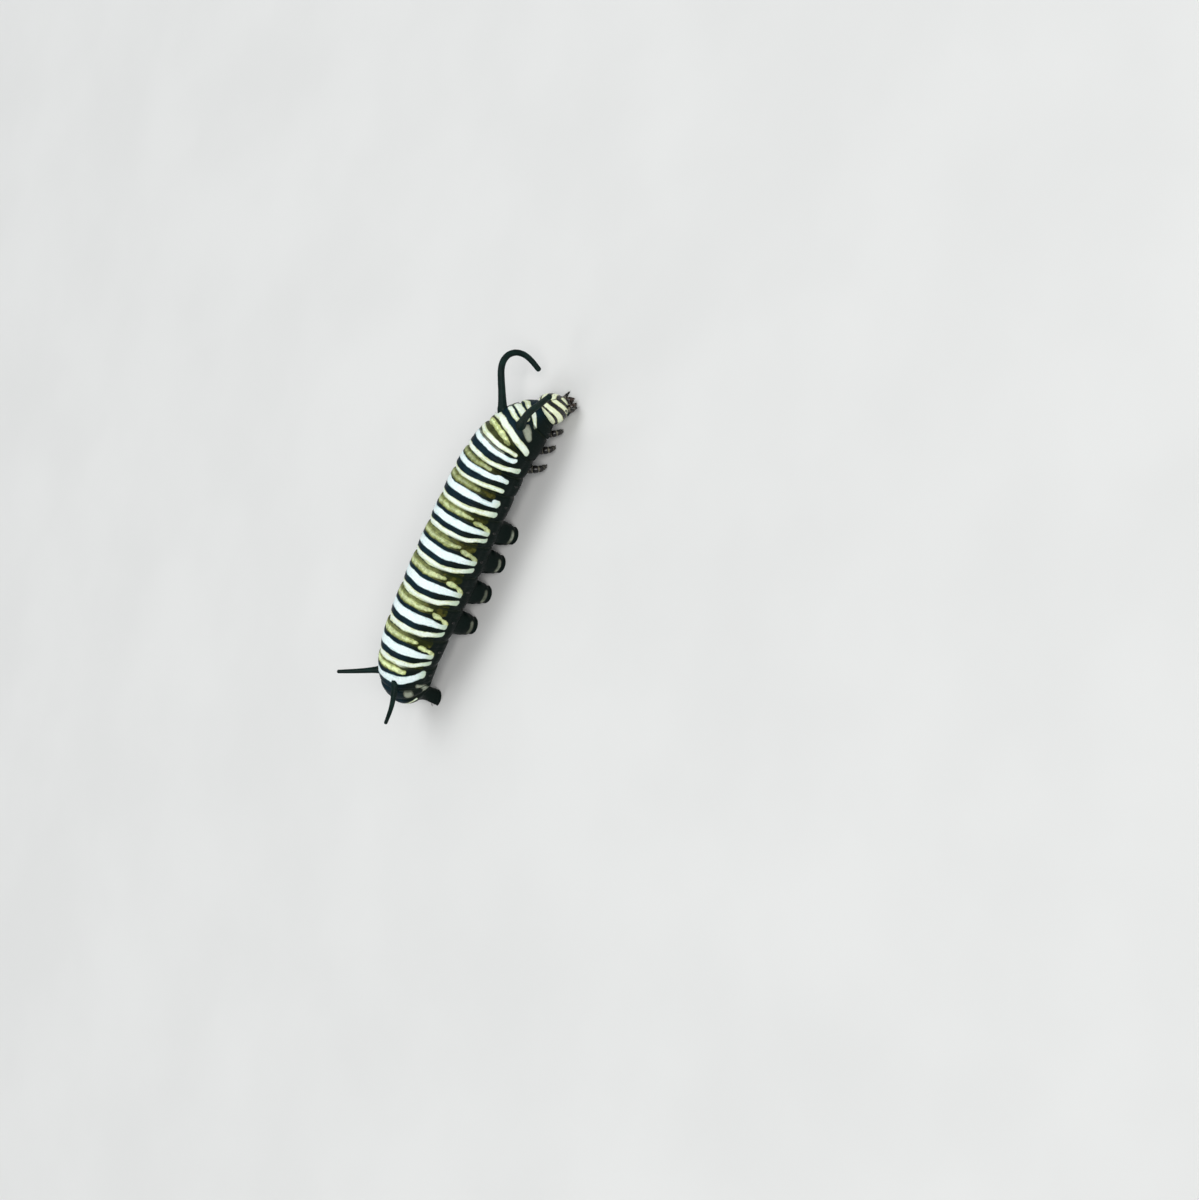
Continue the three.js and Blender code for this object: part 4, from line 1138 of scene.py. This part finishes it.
# unwrap of the hairs: a small patch for each at its root's place, u round the body and v along
# it, with the head in a strip of its own below the body
def hairPatches(cols, rows, headCols, headRows):
    look = hairLook
    u = np.concatenate([(angles[cols] + np.pi)/(2*np.pi), headCols/headLook["cols"]])
    v = np.concatenate([
        look["headShare"] + (1 - look["headShare"])*rowStations[rows]/bodyLength,
        (1 - headRows/headLook["rows"])*look["headShare"]*look["headFill"]])
    places = look["patchEdge"] + (1 - 2*look["patchEdge"])*np.stack([u, v], -1)
    corners = ringOf(look["cols"]*len(look["steps"]) + 2, np.array([1, 0]), np.array([0, 1]))
    return (places[:, None] + look["patch"]*corners).reshape(-1, 2)


# hairs on random points of the skin, clear of the ground and the creases, and of the head
def makeHairs():
    look = hairLook
    random = np.random.default_rng(look["seed"])
    low, high = look["margins"]
    rows = random.integers(skinLook["neckRows"] + low, len(rowStations) - high, look["body"]*2)
    cols = random.integers(0, len(angles), look["body"]*2)
    keep = skinGrid[rows, cols, 2] > look["lowestRoot"]
    # and clear of where the painted crease shade is strong
    keep = keep & (skinMarks["creaseShadow"][rows, cols] < look["creaseLimit"])
    rows, cols = rows[keep][:look["body"]], cols[keep][:look["body"]]
    low, high = look["headMargins"]
    headRows = random.integers(low, headLook["rows"] - high, look["head"])
    headCols = random.integers(0, headLook["cols"], look["head"])
    grids = hairGrids(skinGrid, rows, cols, look["length"], random)
    grids += hairGrids(headGrid, headRows, headCols, look["headLength"], random)
    addGrids(
        "fine_hairs", grids, plainMaterials["fine_hair"],
        patches=hairPatches(cols, rows, headCols, headRows))


makeHairs()
print("fine hairs made")

# Feelers: the direction turns from the first to the last over the bend, in one plane, and
# the radius tapers evenly from a flared root to a rounded tip.
frontFeeler = {"on": 1, "length": 10.4, "radii": (0.42, 0.36, 0.29)}
rearFeeler = {"on": 10, "at": 0.83, "length": 4.6, "radii": (0.32, 0.26, 0.2), "parts": 1}
feelers = {
    "front_left": {
        **frontFeeler, "at": 0.5, "around": -38, "parts": 3,
        "from": (0.51, -0.84, 0.16), "to": (-0.52, 0.46, -0.71), "bend": (0.32, 0.92)},
    "front_right": {
        **frontFeeler, "at": 0.3, "around": 33, "parts": 2,
        "from": (-0.64, -0.59, 0.49), "to": (-0.76, -0.54, 0.36), "bend": (0, 0.6)},
    "rear_left": {
        **rearFeeler, "around": -36,
        "from": (0.40, 0.43, 0.81), "to": (0.51, 0.42, 0.75), "bend": (0, 1)},
    "rear_right": {
        **rearFeeler, "around": 36,
        "from": (-0.41, 0.91, -0.07), "to": (0.13, 0.98, -0.16), "bend": (0, 0.85)},
}
# wrinkles: rings in the flesh, swaying a little; lumps: height, number round, pace along
feelerLook = {
    "cols": 40, "rowStep": 0.05, "rootDepth": 0.6, "flare": 0.35, "flareLength": 0.7,
    "wrinkle": 0.022, "wrinkleStep": 0.42, "wrinkleSway": 0.05, "swayPace": 3,
    "ripple": 0.01, "ripplePace": 29, "lumps": [(0.012, 3, 2.2), (0.008, 7, -5)], "tipLeast": 0.0004,
}


# direction = (sin(angle - turned) first + sin(turned) last)/sin(angle), summed up to a line,
# and radius = taper flare tip (1 - wrinkles) lumps
def feelerGrid(feeler):
    length, look = feeler["length"], feelerLook
    first, last = unit(feeler["from"]), unit(feeler["to"])
    angle = np.arccos(first @ last)
    steps = np.arange(0, length, look["rowStep"]) + look["rowStep"]/2
    turned = smoothStep(*feeler["bend"], steps/length)*angle
    direction = (np.sin(angle - turned)[:, None]*first + np.sin(turned)[:, None]*last)/np.sin(angle)
    station = stationOf(feeler["on"], feeler["at"])
    root = skinAt(station, np.radians(feeler["around"]), halfWidthAt(station))
    line = np.concatenate([
        [root - first*look["rootDepth"], root], root + np.cumsum(direction*look["rowStep"], axis=0)])
    along = np.concatenate([[0], np.arange(len(line) - 1)*look["rowStep"]])
    taper = np.interp(along/length, [0, 0.5, 1], feeler["radii"])
    flare = 1 + look["flare"]*np.exp(-along/look["flareLength"])
    toTip = np.clip((length - along)/feeler["radii"][2], 0, 1)
    tip = np.sqrt(np.clip(1 - (1 - toTip)**2, look["tipLeast"], 1))
    swayed = along + look["wrinkleSway"]*np.sin(along*look["swayPace"])
    wrinkles = look["wrinkle"]*(1 - np.abs(np.sin(np.pi*swayed/look["wrinkleStep"]))**0.5)
    ripples = look["ripple"]*np.sin(along*look["ripplePace"])
    radius = taper*flare*tip*(1 - wrinkles + ripples)
    turn = equalTurns(look["cols"])
    lumps = 1 + sum(
        height*np.sin(turn*number + along[:, None]*pace) for height, number, pace in look["lumps"])
    return tubeGrid(line, radius[:, None]*lumps, look["cols"], np.cross(first, last))


for name, feeler in feelers.items():
    ends = [f"_{part + 1}" for part in range(feeler["parts"])] if feeler["parts"] > 1 else [""]
    addGrids(
        f"feeler_{name}", [feelerGrid(feeler)], plainMaterials["black_flesh"],
        [f"tentacle_{name}{end}" for end in ends])
print("feelers made")

floorLook = {
    "size": 12.0, "colour": (0.74, 0.735, 0.72, 1), "tone": (0.96, 1.0), "noiseScale": 40.0,
    "rough": 0.8,
}


# floor: one square at height 0, with a faint unevenness in its tone
def makeFloor():
    edge = floorLook["size"]/2
    mesh = bpy.data.meshes.new("floor")
    corners = [(-edge, -edge, 0), (edge, -edge, 0), (edge, edge, 0), (-edge, edge, 0)]
    mesh.from_pydata(corners, [], [(0, 1, 2, 3)])
    material, tree, shader, place = newMaterial("floor_paper")
    tone = noiseAt(tree, place, floorLook["noiseScale"])
    tone = mapRange(tree, tone, *noiseSpan, *floorLook["tone"])
    colour = shadeColour(tree, floorLook["colour"], tone)
    tree.links.new(colour, shader.inputs["Base Color"])
    shader.inputs["Roughness"].default_value = floorLook["rough"]
    mesh.materials.append(material)
    floor = placeObject("floor", mesh)


makeFloor()

# Lights: place and size in metres, power in watts, each turned to the larva's middle
lightLook = {
    "key": {"place": (-0.96, -0.30, 0.90), "size": 0.70, "power": 12.5, "colour": (1.0, 1.0, 0.99)},
    "fill": {"place": (0.42, -0.36, 1.02), "size": 0.90, "power": 6.5, "colour": (0.97, 0.99, 1.0)},
    "rim": {"place": (0.15, 1.02, 0.80), "size": 0.66, "power": 3.6, "colour": (1.0, 1.0, 1.0)},
}
skyLook = {"colour": (0.86, 0.93, 1.0, 1), "strength": 0.22}
for name, look in lightLook.items():
    light = bpy.data.lights.new(name, "AREA")
    light.size = look["size"]
    light.energy = look["power"]
    light.color = look["colour"]
    lamp = placeObject(name, light)
    lamp.location = look["place"]
    lamp.rotation_euler = Vector(look["place"]).to_track_quat("Z", "Y").to_euler()
world = bpy.data.worlds.new("soft_sky")
world.use_nodes = True
world.node_tree.nodes["Background"].inputs[0].default_value = skyLook["colour"]
world.node_tree.nodes["Background"].inputs[1].default_value = skyLook["strength"]
bpy.context.scene.world = world
bpy.context.scene.view_settings.view_transform = "Standard"

# Camera: height and swing round the body, roll, and the place of the level point in the
# photo's frame; distances in mm and pixels.
cameraLook = {
    "rise": 37, "swing": 20, "roll": 24, "distance": 250, "mmPerPixel": 0.108,
    "pointAt": (448.2, 562.9), "frame": (1199, 1200), "sensor": 36, "clipStart": 0.005,
}


# camera = level point + distance behind, turned so that the level point falls on its pixel;
# lens = sensor distance/(mm a pixel times the frame's width)
def makeCamera():
    look = cameraLook
    rise, swing, roll = (np.radians(look[key]) for key in ("rise", "swing", "roll"))
    behind = np.array([-np.cos(rise)*np.cos(swing), -np.cos(rise)*np.sin(swing), np.sin(rise)])
    ahead = unit(np.array([0, -1, 0]) + behind[1]*behind)
    sideways = np.cross(ahead, behind)
    right = np.sin(roll)*ahead + np.cos(roll)*sideways
    above = np.cos(roll)*ahead - np.sin(roll)*sideways
    focal = look["distance"]/look["mmPerPixel"]
    offset = Vector((
        look["pointAt"][0] - look["frame"][0]/2, look["frame"][1]/2 - look["pointAt"][1], -focal))
    turn = Vector((0, 0, -1)).rotation_difference(offset.normalized()).to_matrix()
    basis = Matrix((right, above, behind)).transposed() @ turn.inverted()
    cameraData = bpy.data.cameras.new("camera")
    cameraData.sensor_width = look["sensor"]
    cameraData.lens = look["sensor"]*focal/look["frame"][0]
    cameraData.clip_start = look["clipStart"]
    camera = placeObject("camera", cameraData)
    place = (levelPoint + behind*look["distance"])*mm
    camera.matrix_world = Matrix.Translation(place) @ basis.to_4x4()
    bpy.context.scene.camera = camera


makeCamera()
print("camera and lights made")
